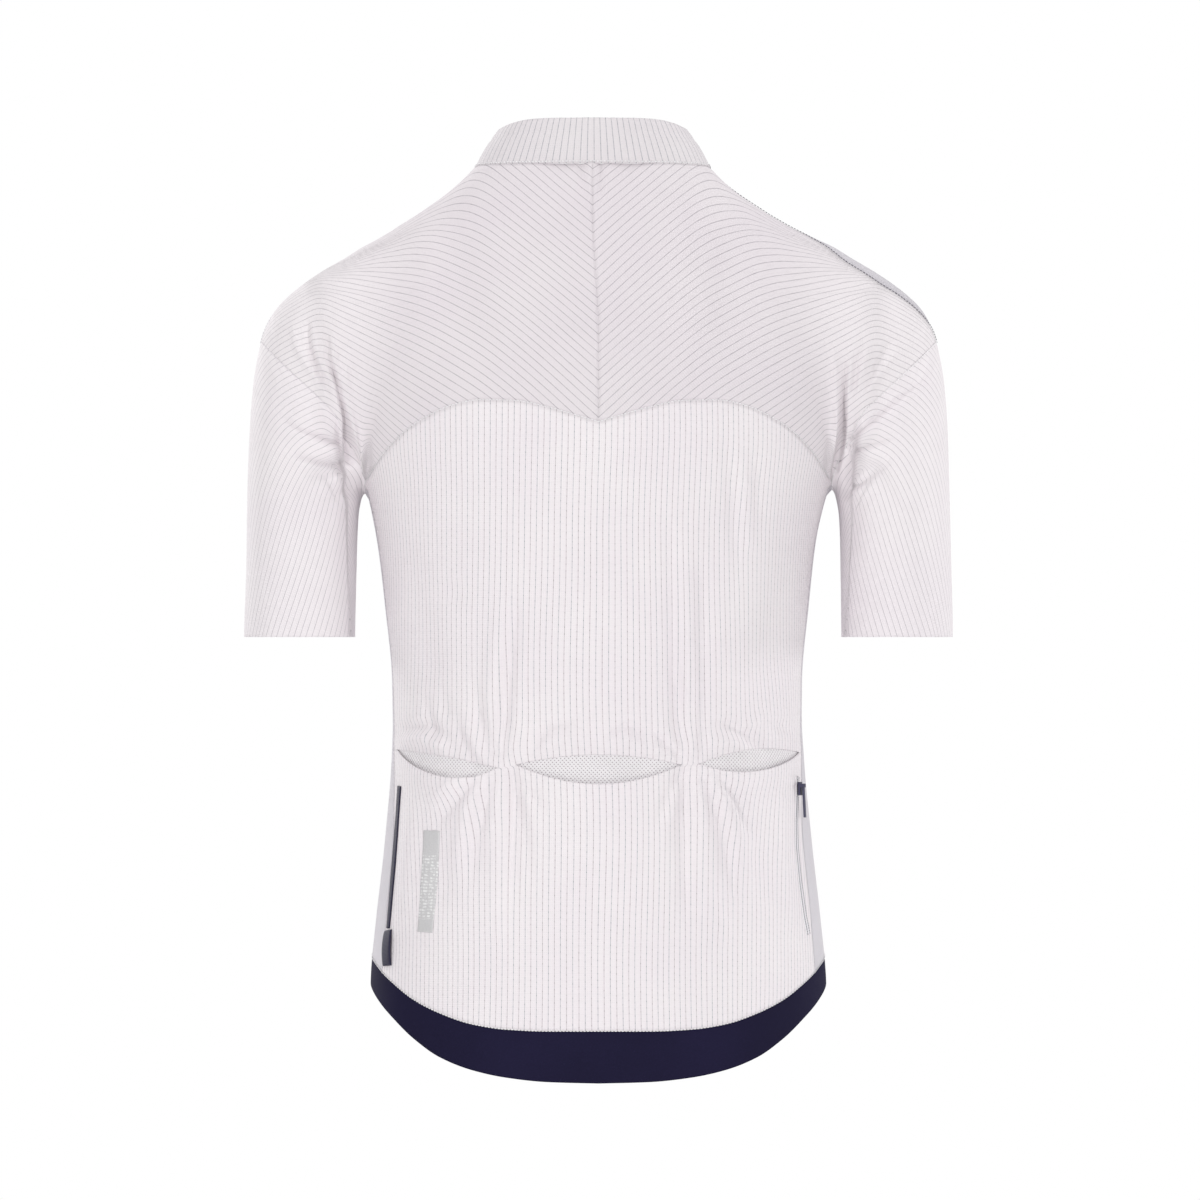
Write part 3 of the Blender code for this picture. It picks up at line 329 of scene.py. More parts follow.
    (14, ((149, -268, 0), (136, -328, -2.5), (127, -380, -2.9), (121, -415, 0))),
    (14, ((-151, -268, 0), (-137, -328, -2.5), (-126, -380, -2.9), (-120, -414, 0))),
    (9, ((128, -320, 0), (106, -322, -1.8), (84, -324, 0))),
    (6, ((139, -480, 1.8), (141, -510, 2.9), (145, -545, 2.5), (149, -575, 1))),
    (6, ((-138, -480, 2), (-137, -510, 3.1), (-140, -540, 2.7), (-145, -572, 1))),
    (10, ((118, -505, -1.6), (117, -540, -2.7), (122, -575, 0))),
    (9, ((-124, -480, 0), (-122, -520, -2.5), (-126, -560, 0))),
)
FOLDS_BEFORE = (
    # armhole folds, left then right
    (4.0, ((223, -140, 0), (212, -160, 2.8), (198, -185, 3.4), (188, -210, 1.8))),
    (3.2, ((214, -142, 0), (204, -164, -2.3), (192, -190, -3.7), (182, -214, -6))),
    (3.0, ((232, -192, 0), (215, -203, -3.4), (198, -209, -4.6), (184, -212, -4.1))),
    (5.0, ((231, -199, 0), (214, -211, 2.3), (196, -218, 2.8))),
    (3.0, ((228, -216, 0), (210, -226, -3), (192, -226, -4.1))),
    (4.0, ((-221, -138, 0), (-213, -162, 2.8), (-197, -187, 3.4), (-187, -211, 1.8))),
    (3.2, ((-212, -141, 0), (-203, -166, -2.5), (-191, -192, -3.7), (-181, -216, -6))),
    (3.0, ((-229, -196, 0), (-213, -206, -3.4), (-197, -211, -4.6), (-184, -215, -4.1))),
    (5.0, ((-230, -205, 0), (-211, -215, 2.3), (-195, -221, 2.8))),
    # chest and waist
    (6.6, ((128, -150, 0), (118, -190, -3.1), (104, -235, -2.4), (96, -280, 0))),
    (7.2, ((-126, -155, 0), (-119, -196, -2.8), (-103, -240, -3.1), (-98, -290, 0))),
    (6.1, ((20, -240, 0), (34, -300, -3.1), (30, -360, -4.1), (24, -420, 0))),
    (6.1, ((-22, -250, 0), (-33, -310, -3.4), (-31, -375, -3.8), (-20, -430, 0))),
    (7.2, ((52, -270, 0), (60, -340, 3.8), (54, -410, 0))),
    (7.2, ((-54, -265, 0), (-60, -350, 3.4), (-50, -420, 0))),
    (5, ((110, -330, 0), (70, -372, -2.8), (30, -385, 0))),
    (5, ((-112, -345, 0), (-76, -380, -2.8), (-32, -392, 0))),
    (5.5, ((120, -410, 0), (80, -440, -2.8), (36, -446, 0))),
    (5.5, ((-118, -420, 0), (-84, -452, -2.4), (-34, -455, 0))),
    # below the collar
    (5, ((60, -62, 0), (44, -80, -3.1), (26, -94, 0))),
    (5, ((-58, -60, 0), (-42, -79, -3.4), (-24, -95, 0))),
    # the front half of the sleeves
    (4.4, ((236, -240, 0), (226, -275, -3.1), (218, -310, 0))),
    (4.4, ((-238, -245, 0), (-228, -280, -3.4), (-216, -318, 0))),
    # from the armpits to the zip, and over the hem
    (4.2, ((158, -214, 0), (132, -236, -2.6), (100, -262, -2.2), (62, -282, 0))),
    (6.0, ((160, -226, 0), (130, -250, 2.4), (96, -276, 1.8), (60, -296, 0))),
    (4.4, ((-160, -222, 0), (-136, -240, -2.9), (-108, -258, -2.2), (-74, -270, 0))),
    (6.2, ((-158, -234, 0), (-130, -256, 2.2), (-98, -274, 1.6), (-66, -284, 0))),
    (4.0, ((9, -150, 0), (16, -178, -2.2), (30, -200, 0))),
    (4.0, ((-9, -186, 0), (-18, -214, -2.4), (-36, -232, 0))),
    (4.6, ((8, -330, 0), (20, -352, -2.6), (44, -366, 0))),
    (4.4, ((-9, -470, 0), (-20, -492, -2.8), (-42, -508, 0))),
    (5.0, ((9, -500, 0), (24, -520, -2.4), (52, -530, 0))),
    (7.0, ((84, -556, 0), (88, -520, 2.4), (80, -480, 0))),
    (7.0, ((-70, -560, 0), (-78, -528, 2.6), (-74, -490, 0))),
)


def curve(xs, ys):
    """A smooth curve through points that never overshoots them."""
    order = np.argsort(xs)
    xs, ys = np.array(xs, float)[order], np.array(ys, float)[order]
    step = np.diff(xs)
    rise = np.diff(ys) / step
    slope = np.zeros(len(xs))
    slope[0], slope[-1] = rise[0], rise[-1]
    for i in range(1, len(xs) - 1):
        if rise[i - 1] * rise[i] > 0:
            before, after = 2 * step[i] + step[i - 1], step[i] + 2 * step[i - 1]
            slope[i] = (before + after) / (before / rise[i - 1] + after / rise[i])

    def at(x):
        x = np.clip(np.asarray(x, float), xs[0], xs[-1])
        i = np.clip(np.searchsorted(xs, x) - 1, 0, len(step) - 1)
        t = (x - xs[i]) / step[i]
        return (
            (1 + 2 * t) * (1 - t) ** 2 * ys[i]
            + t * (1 - t) ** 2 * step[i] * slope[i]
            + t * t * (3 - 2 * t) * ys[i + 1]
            + t * t * (t - 1) * step[i] * slope[i + 1]
        )

    return at


def columns(table):
    """One smooth curve for each column of a table over its first column."""
    first = [row[0] for row in table]
    return [curve(first, [row[k] for row in table]) for k in range(1, len(table[0]))]


torso_half, torso_back, torso_front, torso_offset, torso_square = columns(TORSO)
arm_inner, arm_outer, arm_depth, arm_middle, arm_square, arm_blend = columns(ARM)
side_behind, side_front = columns(SIDE_SEAMS)
hem_seam, hem_edge = columns(HEM)
yoke_seam = curve(*zip(*YOKE_SEAM))


def oval(dx, dy, half, depth, square):
    """Distance from an oval, less than 0 inside it."""
    q = (np.abs(dx) / half) ** square + (np.abs(dy) / depth) ** square
    return np.hypot(dx, dy) * (1 - np.maximum(q, 1e-9) ** (-1 / square))


def field(p):
    """Distance from the jersey's outer face: body and sleeves, softly joined."""
    x, y, z = p[..., 0], p[..., 1], p[..., 2]
    depth = np.where(y > 0, torso_back(z), torso_front(z))
    body = oval(x - torso_offset(z), y, torso_half(z), depth, torso_square(z))
    inner, outer, soft = arm_inner(z), arm_outer(z), arm_blend(z)
    middle, half = (inner + outer) / 2, (outer - inner) / 2
    arm = oval(np.abs(x) - middle, y - arm_middle(z), half, arm_depth(z), arm_square(z))
    arm = arm + 0.7 * np.maximum(z - SLEEVE_TOP_Z, 0)
    meet = np.maximum(soft - np.abs(body - arm), 0) / soft
    return np.minimum(body, arm) - meet * meet * soft / 4


def slope_of(p):
    """How the distance changes along x, y and z."""
    out = np.zeros(p.shape)
    for k in range(3):
        step = np.zeros(3)
        step[k] = PROBE
        out[..., k] = (field(p + step) - field(p - step)) / (2 * PROBE)
    return out


def normal(p):
    """The outward direction at points of the jersey."""
    s = slope_of(p)
    return s / np.linalg.norm(s, axis=-1, keepdims=True)


def settle(p, turns=7):
    """Points moved onto the jersey's outer face."""
    p = np.array(p, float)
    for _ in range(turns):
        s = slope_of(p)
        steep = np.maximum((s * s).sum(-1, keepdims=True), LEAST_SLOPE)
        far = field(p)[..., None] * s / steep
        size = np.linalg.norm(far, axis=-1, keepdims=True)
        p -= far * np.minimum(1, LONGEST_MOVE / np.maximum(size, 1e-9))
    return p


def between(low, high):
    """Where the face lies on the way from inside points low to outside points high."""
    low, high = np.array(low, float), np.array(high, float)
    for _ in range(40):
        mid = (low + high) / 2
        inside = (field(mid) < 0)[..., None]
        low, high = np.where(inside, mid, low), np.where(inside, high, mid)
    return (low + high) / 2


def face_y(x, z, way):
    """Points of the face at x and z, behind (way 1) or in front (way -1)."""
    x, z = np.broadcast_arrays(np.asarray(x, float), np.asarray(z, float))
    zero = np.zeros(x.shape)
    return settle(between(np.stack([x, zero, z], -1),
                          np.stack([x, zero + way * BEYOND, z], -1)))


def around(angle, z, side):
    """Points of the body at angles in degrees from the centre back."""
    turn, z = np.broadcast_arrays(np.radians(np.asarray(angle, float)), np.asarray(z, float))
    power = 2 / torso_square(z)
    depth = np.where(np.cos(turn) > 0, torso_back(z), torso_front(z))
    x = torso_offset(z) + side * torso_half(z) * np.abs(np.sin(turn)) ** power
    y = np.sign(np.cos(turn)) * depth * np.abs(np.cos(turn)) ** power
    return settle(np.stack([x, y, z], -1))


def quads_of(rows, cols, start=0, ring=False):
    """A grid's faces; a ring's last column meets its first."""
    last = cols if ring else cols - 1
    return [
        (start + r * cols + c, start + r * cols + (c + 1) % cols,
         start + (r + 1) * cols + (c + 1) % cols, start + (r + 1) * cols + c)
        for r in range(rows - 1)
        for c in range(last)
    ]


def face_normals(points, quads):
    """Smooth outward directions from the faces themselves."""
    quads = np.asarray(quads)
    a = np.cross(points[quads[:, 2]] - points[quads[:, 0]],
                 points[quads[:, 3]] - points[quads[:, 1]])
    out = np.zeros(points.shape)
    for k in range(4):
        np.add.at(out, quads[:, k], a)
    return out / np.maximum(np.linalg.norm(out, axis=1, keepdims=True), 1e-9)


# --- seams, as fine as each piece needs ---------------------------------------------
CENTRE = float(torso_offset(0.0))
ZIP_TOP_X = float(torso_offset(ZIP_TOP_Z))


def spread(n, low=0.0, high=1.0):
    return np.linspace(low, high, n + 1)


def neck_back(side, n):
    """The collar seam from the centre back to the shoulder."""
    turn = spread(n, 0, 90)
    return around(turn, NECK_SIDE_Z * (turn / 90) ** 2, side)


def neck_front(side, n):
    """The collar seam from the shoulder to the zip."""
    x, z = columns(NECK_FRONT)
    way = spread(n)
    points = face_y(torso_offset(z(way)) + side * x(way), z(way), -1)
    points[0] = neck_back(side, 1)[-1]
    return points


def shoulder(side, name, n):
    """The shoulder seam from the collar to the shoulder's point."""
    behind = curve(*zip(*SHOULDER_SEAM[name]))
    z = NECK_SIDE_Z + (SHOULDER_Z - NECK_SIDE_Z) * spread(n) ** 0.9
    y = behind(z)
    inside, outside = (np.stack([side * (x + 0 * z), y, z], -1) for x in (60, 320))
    points = between(inside, outside)
    points[0] = neck_back(side, 1)[-1]
    return points


def crotch(side, n):
    """The seam under the arm, from behind to the front."""
    y = spread(n, ARMPIT_HALF, -ARMPIT_HALF)
    low = np.stack([side * (ARMPIT_X + 0 * y), y, -205 + 0 * y], -1)
    return between(low, low - np.array([0, 0, 90]))


def armpit(side, which):
    """The end of the seam under the arm, where the seams meet."""
    return crotch(side, 2)[0 if which == "back" else -1]


def armhole(side, which, name, n):
    """The sleeve seam from the shoulder's point to the armpit."""
    x, z = columns(SLEEVE_SEAM[which])
    t = spread(n)
    points = face_y(side * x(t), z(t), 1 if which == "back" else -1)
    points[0] = shoulder(side, name, 1)[-1]
    points[-1] = armpit(side, which)
    return points


# The back's columns, as shares of the way from the centre to the side seam, which is at
# 81 degrees where the body is 155 mm wide to each side. Some pass through the ends of the
# pocket mouths; MIDDLE, BRIDGE and MOUTH are the fine columns in half the middle mouth,
# between two mouths and in a side mouth.
MOUTH_AT = [math.degrees(math.asin((x / 155) ** 1.1)) / 81 for x in (62, 75.5, 151)]
COARSE_AT = np.concatenate([spread(5, 0, MOUTH_AT[0]), spread(8, *MOUTH_AT[1:]),
                            spread(2, MOUTH_AT[2], 1)[1:]])
MIDDLE, BRIDGE, MOUTH = 26, 5, 32
FINE_AT = np.concatenate([
    spread(MIDDLE, 0, MOUTH_AT[0]), spread(BRIDGE, *MOUTH_AT[:2])[1:],
    spread(MOUTH, *MOUTH_AT[1:])[1:], spread(9, MOUTH_AT[2], 1)[1:]])
SIDE_SEAM = {"back": side_behind, "front": side_front}
HEM_COLUMNS = (18, 90)  # the hem band's own: under the arm, and across a front


def on_column(share, z, side):
    return around(share * side_behind(z), z, side)


def rows_to_mouth(n):
    """Shares of the way down to a pocket mouth, closer together near it."""
    return 1 - (1 - spread(n)) ** 1.45


def rows_from_mouth(n):
    """Shares of the way on from the mouth to the hem."""
    return spread(n) ** 1.2


def yoke_edge(side, shares):
    """The yoke's seam with the back, from the centre to the armpit."""
    z = np.full(len(shares), -200.0)
    for _ in range(25):
        x = np.abs(on_column(shares, z, side)[:, 0])
        z = 0.5 * z + 0.5 * yoke_seam(x)
    points = on_column(shares, z, side)
    points[-1] = armpit(side, "back")
    return points


def mouth_lips(side, name, shares):
    """The height of the upper and lower lip at each column of one half."""
    x = on_column(shares, np.full(len(shares), MOUTH_Z), side)[:, 0]
    ends = sorted((side * a, b) for p in POCKETS if p[0] in ("centre", name)
                  for a, b in (p[1:3], p[3:5]) if side * a > 0)
    chord = np.interp(side * x, *zip(*ends))
    upper, lower, slit = chord.copy(), chord.copy(), np.zeros(len(x), bool)
    for pocket, x0, _, x1, _, up, down in POCKETS:
        if pocket not in ("centre", name):
            continue
        t = (x - x0) / (x1 - x0)
        held = (t > 0.004) & (t < 0.996)  # not at the sewn ends
        lens = 4 * np.clip(t, 0, 1) * (1 - np.clip(t, 0, 1))
        upper = np.where(held, chord + up * lens, upper)
        lower = np.where(held, chord - down * lens, lower)
        slit |= held
    return upper, lower, slit


def side_rows(side, which, rows_up, rows_low):
    """The heights of the rows along a side seam, from the armpit to the hem seam."""
    mouth = POCKETS[0 if side > 0 else 2][4]
    top = armpit(side, which)[2]
    low = float(hem_seam(SIDE_SEAM[which](CORNER_Z)))
    upper = top + (mouth - top) * rows_to_mouth(rows_up)
    lower = mouth + (low - mouth) * rows_from_mouth(rows_low)
    return np.concatenate([upper, lower[1:]])


def side_edge(side, which, rows_up, rows_low):
    """A side seam's points, from the armpit to the hem seam."""
    z = side_rows(side, which, rows_up, rows_low)
    points = around(SIDE_SEAM[which](z), z, side)
    points[0] = armpit(side, which)
    corner = SIDE_SEAM[which](CORNER_Z)
    points[-1] = around(corner, hem_seam(corner), side)
    return points


def hem_angles(shares, n_side, n_front):
    """The angles of the hem's columns from the centre back to the zip, one side."""
    behind, front = (float(SIDE_SEAM[which](CORNER_Z)) for which in ("back", "front"))
    zip_angle = 180 - math.degrees(math.asin((TAPE_HALF / 169) ** 1.1))
    return shares * behind, spread(n_side, behind, front), spread(n_front, front, zip_angle)


def hem_points(angles, low, side):
    """Points on the hem seam (low 0) to the hem's edge (low 1)."""
    return around(angles, (1 - low) * hem_seam(angles) + low * hem_edge(angles), side)


def zip_edge(side, n):
    """The front's edge beside the zip; n points a step of the coarse rows."""
    upper = spread(ARMHOLE * n, ZIP_TOP_Z, CHEST_Z)
    rest = side_rows(side, "front", TO_MOUTH * n, TO_HEM * n)
    low = float(hem_seam(180.0))
    rest = CHEST_Z + (rest - rest[0]) / (rest[-1] - rest[0]) * (low - CHEST_Z)
    z = np.concatenate([upper, rest[1:]])
    points = face_y(torso_offset(z) + side * TAPE_HALF, z, -1)
    points[0] = neck_front(side, 2)[-1]
    points[-1] = hem_points(hem_angles(COARSE_AT, UNDER, ACROSS)[2], 0, side)[-1]
    return points


def pocket_swell(x, z):
    """How far the back stands out over its pockets, and in a low mound above them."""
    out = np.zeros(np.shape(x))
    for _, x0, z0, x1, z1, up, down in POCKETS:
        t = np.clip((x - x0) / (x1 - x0), 0, 1)
        lens = 4 * t * (1 - t)
        chord = z0 + (z1 - z0) * t
        below = np.maximum(chord - down * lens - z, 0)
        front = POCKET_BULGE * lens ** 0.8 * np.exp(-((below / 75) ** 1.4))
        above = z - chord - up * lens
        mound = (4.0 if up > 7 else 1.8) * lens * np.exp(-(((above - 12) / 16) ** 2))
        out = np.maximum(out, np.where(z < chord - 1e-6 - 0.5 * down * lens, front,
                                       np.where(above > -1e-3, mound, 0)))
    return out


# --- fine grids ----------------------------------------------------------------------
def refine(grid, k, axis):
    """A grid with k steps for each one along an axis, on smooth curves."""
    g = np.moveaxis(grid, axis, 0)
    pad = np.concatenate([2 * g[:1] - g[1:2], g, 2 * g[-1:] - g[-2:-1]])
    t = np.linspace(0, len(g) - 1, (len(g) - 1) * k + 1)
    i = np.minimum(t.astype(int), len(g) - 2)
    f = (t - i).reshape((-1,) + (1,) * (g.ndim - 1))
    a, b, c, d = pad[i], pad[i + 1], pad[i + 2], pad[i + 3]
    out = 0.5 * (2 * b + (c - a) * f + (2 * a - 5 * b + 4 * c - d) * f ** 2
                 + (3 * b - a - 3 * c + d) * f ** 3)
    return np.moveaxis(out, 0, axis)


def coons(top, bottom, left, right):
    """A grid between four edges."""
    u = np.linspace(0, 1, len(top))[None, :, None]
    v = np.linspace(0, 1, len(left))[:, None, None]
    return (
        (1 - v) * top[None] + v * bottom[None] + (1 - u) * left[:, None] + u * right[:, None]
        - (1 - u) * (1 - v) * top[0] - u * (1 - v) * top[-1]
        - (1 - u) * v * bottom[0] - u * v * bottom[-1]
    )


def fill(top, bottom, left, right, kc, kr):
    """A panel's points between four fine edges, kc and kr steps to a coarse one."""
    edges = top[::kc], bottom[::kc], left[::kr], right[::kr]
    flat = settle(coons(*edges), 10)
    flat[0], flat[-1], flat[:, 0], flat[:, -1] = edges
    for _ in range(24):
        mid = (flat[:-2, 1:-1] + flat[2:, 1:-1] + flat[1:-1, :-2] + flat[1:-1, 2:]) / 4
        flat[1:-1, 1:-1] = settle(mid, 2)
    fine = refine(refine(flat, kr, 0), kc, 1)
    fine += coons(top - fine[0], bottom - fine[-1], left - fine[:, 0], right - fine[:, -1])
    fine[1:-1, 1:-1] = settle(fine[1:-1, 1:-1], 3)
    fine[0], fine[-1], fine[:, 0], fine[:, -1] = top, bottom, left, right
    return fine


def soft_step(low, high, x):
    t = np.clip((x - low) / (high - low), 0, 1)
    return t * t * (3 - 2 * t)


def crease(x, z, width, line):
    """The height of one soft fold at points (x, z)."""
    line = np.array(line, float)
    best = np.full(x.shape, 1e9)
    high = np.zeros(x.shape)
    for a, b in zip(line[:-1], line[1:]):
        along = b[:2] - a[:2]
        t = ((x - a[0]) * along[0] + (z - a[1]) * along[1]) / (along @ along)
        t = np.clip(t, 0, 1)
        off = np.hypot(x - a[0] - t * along[0], z - a[1] - t * along[1])
        nearer = off < best
        best = np.where(nearer, off, best)
        high = np.where(nearer, a[2] + (b[2] - a[2]) * t, high)
    return high * np.exp(-((best / width) ** 2))


def relief(points, out, depth):
    """How far the cloth stands off its smooth form: folds, dents and a soft unevenness."""
    x, y, z = points[..., 0], points[..., 1], points[..., 2]
    total = np.zeros(x.shape)
    for folds, way in ((FOLDS_BEHIND, 1), (FOLDS_BEFORE, -1)):
        faces = soft_step(-0.15, 0.3, way * out[..., 1])
        for width, line in folds:
            spots = np.array(line)
            near = faces > 0
            for at, found in ((x, spots[:, 0]), (z, spots[:, 1])):
                near &= (at > found.min() - 3 * width) & (at < found.max() + 3 * width)
            if near.any():
                total[near] += faces[near] * crease(x[near], z[near], width, line)
    uneven = (np.sin(x / 19 + 1.3 + np.sin(z / 37)) * np.sin(z / 43 + 0.4 * np.sin(x / 31))
              + 0.6 * np.sin(x / 41 - z / 57 + y / 33) + 0.4 * np.sin(z / 23 + y / 17 + x / 71))
    return depth * total + UNEVENNESS * uneven


# --- meshes --------------------------------------------------------------------------
def raw_mesh(name, points, faces, uv=None):
    """An object from points in millimetres, with an optional weave map."""
    mesh = bpy.data.meshes.new(name)
    mesh.from_pydata((np.asarray(points) * MM).tolist(), [], faces)
    if uv is not None:
        layer = mesh.uv_layers.new(name="weave")
        index = np.zeros(len(mesh.loops), int)
        mesh.loops.foreach_get("vertex_index", index)
        layer.data.foreach_set("uv", np.asarray(uv, float)[index].ravel())
    mesh.polygons.foreach_set("use_smooth", [True] * len(mesh.polygons))
    mesh.update()
    made = bpy.data.objects.new(name, mesh)
    bpy.context.scene.collection.objects.link(made)
    return made


def rim_of(quads):
    """The edges that only one face has, in the faces' own direction."""
    sides = set()
    for q in quads:
        for k in range(4):
            if q[k] != q[(k + 1) % 4]:
                sides.add((q[k], q[(k + 1) % 4]))
    return [(a, b) for a, b in sides if (b, a) not in sides]


def shell(name, points, uv, wall, quads=None, outward=None, free=None, folds=None,
          groove=GROOVE):
    """A thin piece of cloth: an outer and an inner face and a rounded rim.

    points is a grid, or a list that comes with its quads. free marks the points whose
    edges aren't sewn; a sewn edge lies in a shallow groove.
    """
    quads = quads or quads_of(*points.shape[:2])
    points = points.reshape(-1, 3)
    outward = normal(points) if outward is None else outward.reshape(-1, 3)
    free = np.zeros(len(points), bool) if free is None else free.ravel()
    if folds is not None:
        points = points + relief(points, outward, folds)[:, None] * outward
    if (face_normals(points, quads) * outward).sum() < 0:
        quads = [q[::-1] for q in quads]
    rim = rim_of(quads)
    sewn = [v for v in {v for edge in rim for v in edge} if not free[v]]
    if sewn and groove:
        tree = KDTree(len(sewn))
        for i, v in enumerate(sewn):
            tree.insert(points[v], i)
        tree.balance()
        off = np.array([tree.find(p)[2] for p in points])
        # drawn in at the seam, and standing out a little some 5 mm away from it
        dip = -groove * np.exp(-((off / 1.3) ** 2)) + 0.3 * groove * np.exp(
            -(((off - 5) / 2.4) ** 2))
        points = points + dip[:, None] * outward
    ways = {}
    for a, b in rim:
        along = points[b] - points[a]
        along /= max(np.linalg.norm(along), 1e-9)
        for v in (a, b):
            ways.setdefault(v, []).append(np.cross(outward[v], along))
    draw = np.zeros(points.shape)
    for v, found in ways.items():
        both = sum(found)
        draw[v] = both / max(np.linalg.norm(both), 1e-9)
    outer = points + draw * SEAM_GAP * 0.05
    inner = outer - wall * outward
    lips = sorted(ways)
    n, place = len(points), {v: i for i, v in enumerate(lips)}
    # the middle of the rim stands out past both faces, so that the edge is rounded
    mid = np.array([(outer[v] + inner[v]) / 2 - draw[v] * min(0.35 * wall, 0.15) for v in lips])
    faces = quads + [tuple(n + v for v in q[::-1]) for q in quads]
    for a, b in rim:
        ma, mb = 2 * n + place[a], 2 * n + place[b]
        faces += [(b, a, ma, mb), (mb, ma, n + a, n + b)]
    made = raw_mesh(name, np.concatenate([outer, inner, mid]), faces,
                    np.concatenate([uv, uv, uv[lips]]))
    return made, outer, quads


def grid_uv(u, v, gap=1.0):
    return np.stack([np.ravel(u), np.ravel(v)], 1) / gap


def run_along(grid, axis):
    """The distance along a grid's rows (axis 1) or columns (axis 0) from the first one."""
    step = np.linalg.norm(np.diff(grid, axis=axis), axis=-1)
    shape = list(step.shape)
    shape[axis] = 1
    return np.concatenate([np.zeros(shape), np.cumsum(step, axis)], axis)


def own_map(grid, gap=1.0, shift=0.0):
    """A map that follows a grid's rows and columns, in steps of gap."""
    return grid_uv(run_along(grid, 1) - shift, run_along(grid, 0), gap)


def dress(made, node, look):
    """Gives a finished piece its material and its body, and hides the CAD node that it stands
    for.
    """
    made.data.materials.append(finish(look))
    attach(made, "jersey")
    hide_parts(node)


# --- materials -----------------------------------------------------------------------
class Look:
    """A material and short ways to add shader nodes to it."""

    def __init__(self, name, rough=0.8, metal=0.0, sheen=0.0, specular=0.3):
        self.material = bpy.data.materials.new(name)
        self.material.use_nodes = True
        self.tree = self.material.node_tree
        self.shader = self.tree.nodes["Principled BSDF"]
        self.set("Roughness", rough)
        self.set("Metallic", metal)
        self.set("Specular IOR Level", specular)
        if sheen:
            self.set("Sheen Weight", sheen)
            self.set("Sheen Roughness", 0.45)

    def set(self, socket, value):
        self.put(self.shader.inputs[socket], value)

    def put(self, socket, value):
        if isinstance(value, bpy.types.NodeSocket):
            self.tree.links.new(value, socket)
        elif isinstance(value, (tuple, list)) and len(value) == 3 and socket.type == "RGBA":
            socket.default_value = (*value, 1)
        else:
            socket.default_value = value

    def node(self, kind, inputs=(), **settings):
        node = self.tree.nodes.new(kind)
        for key, value in settings.items():
            setattr(node, key, value)
        for key, value in dict(inputs).items():
            self.put(node.inputs[key], value)
        return node

    def math(self, operation, *values):
        node = self.node("ShaderNodeMath", operation=operation)
        for socket, value in zip(node.inputs, values):
            self.put(socket, value)
        return node.outputs[0]

    def times(self, value, factor):
        return self.math("MULTIPLY", value, factor)

    def linear(self, value, factor, plus):
        return self.math("MULTIPLY_ADD", value, factor, plus)

    def step(self, value, low, high, start=0.0, end=1.0):
        """A smooth step of value from low to high."""
        return self.node("ShaderNodeMapRange", {
            "Value": value, "From Min": low, "From Max": high, "To Min": start, "To Max": end,
        }, interpolation_type="SMOOTHSTEP").outputs[0]

    def mix(self, share, one, two):
        node = self.node("ShaderNodeMix", data_type="RGBA")
        for k, value in ((0, share), (6, one), (7, two)):
            self.put(node.inputs[k], value)
        return node.outputs[2]

    def weave(self):
        """The piece's own map, in its repeat."""
        split = self.node("ShaderNodeSeparateXYZ",
                          {0: self.node("ShaderNodeUVMap", uv_map="weave").outputs[0]})
        return split.outputs[0], split.outputs[1]

    def place(self):
        return self.node("ShaderNodeTexCoord").outputs["Object"]

    def noise(self, scale, detail=3.0):
        return self.node("ShaderNodeTexNoise", {
            "Vector": self.place(), "Scale": scale, "Detail": detail}).outputs["Fac"]

    def off_middle(self, value, times=1.0, shift=0.0):
        """How far value is from the middle of its repeat, from 0 to 0.5."""
        scaled = self.linear(value, times, shift)
        return self.math("ABSOLUTE", self.math("SUBTRACT", self.math("FRACT", scaled), 0.5))

    def wave(self, value, times):
        return self.math("SINE", self.times(value, 2 * math.pi * times))

    def bump(self, height, depth, strength=1.0):
        node = self.node("ShaderNodeBump", {
            "Height": height, "Distance": depth, "Strength": strength})
        self.set("Normal", node.outputs[0])


def srgb(*values):
    """A colour's linear values from the usual 0 to 255."""
    return tuple(((v / 255 + 0.055) / 1.055) ** 2.4 if v > 10 else v / 255 / 12.92
                 for v in values)


def tint(base, *factors, plus=0.0):
    """A colour scaled by one factor, or by one for each channel, and lifted."""
    return tuple(min(c * f + plus, 1) for c, f in zip(base, factors * (3 // len(factors))))


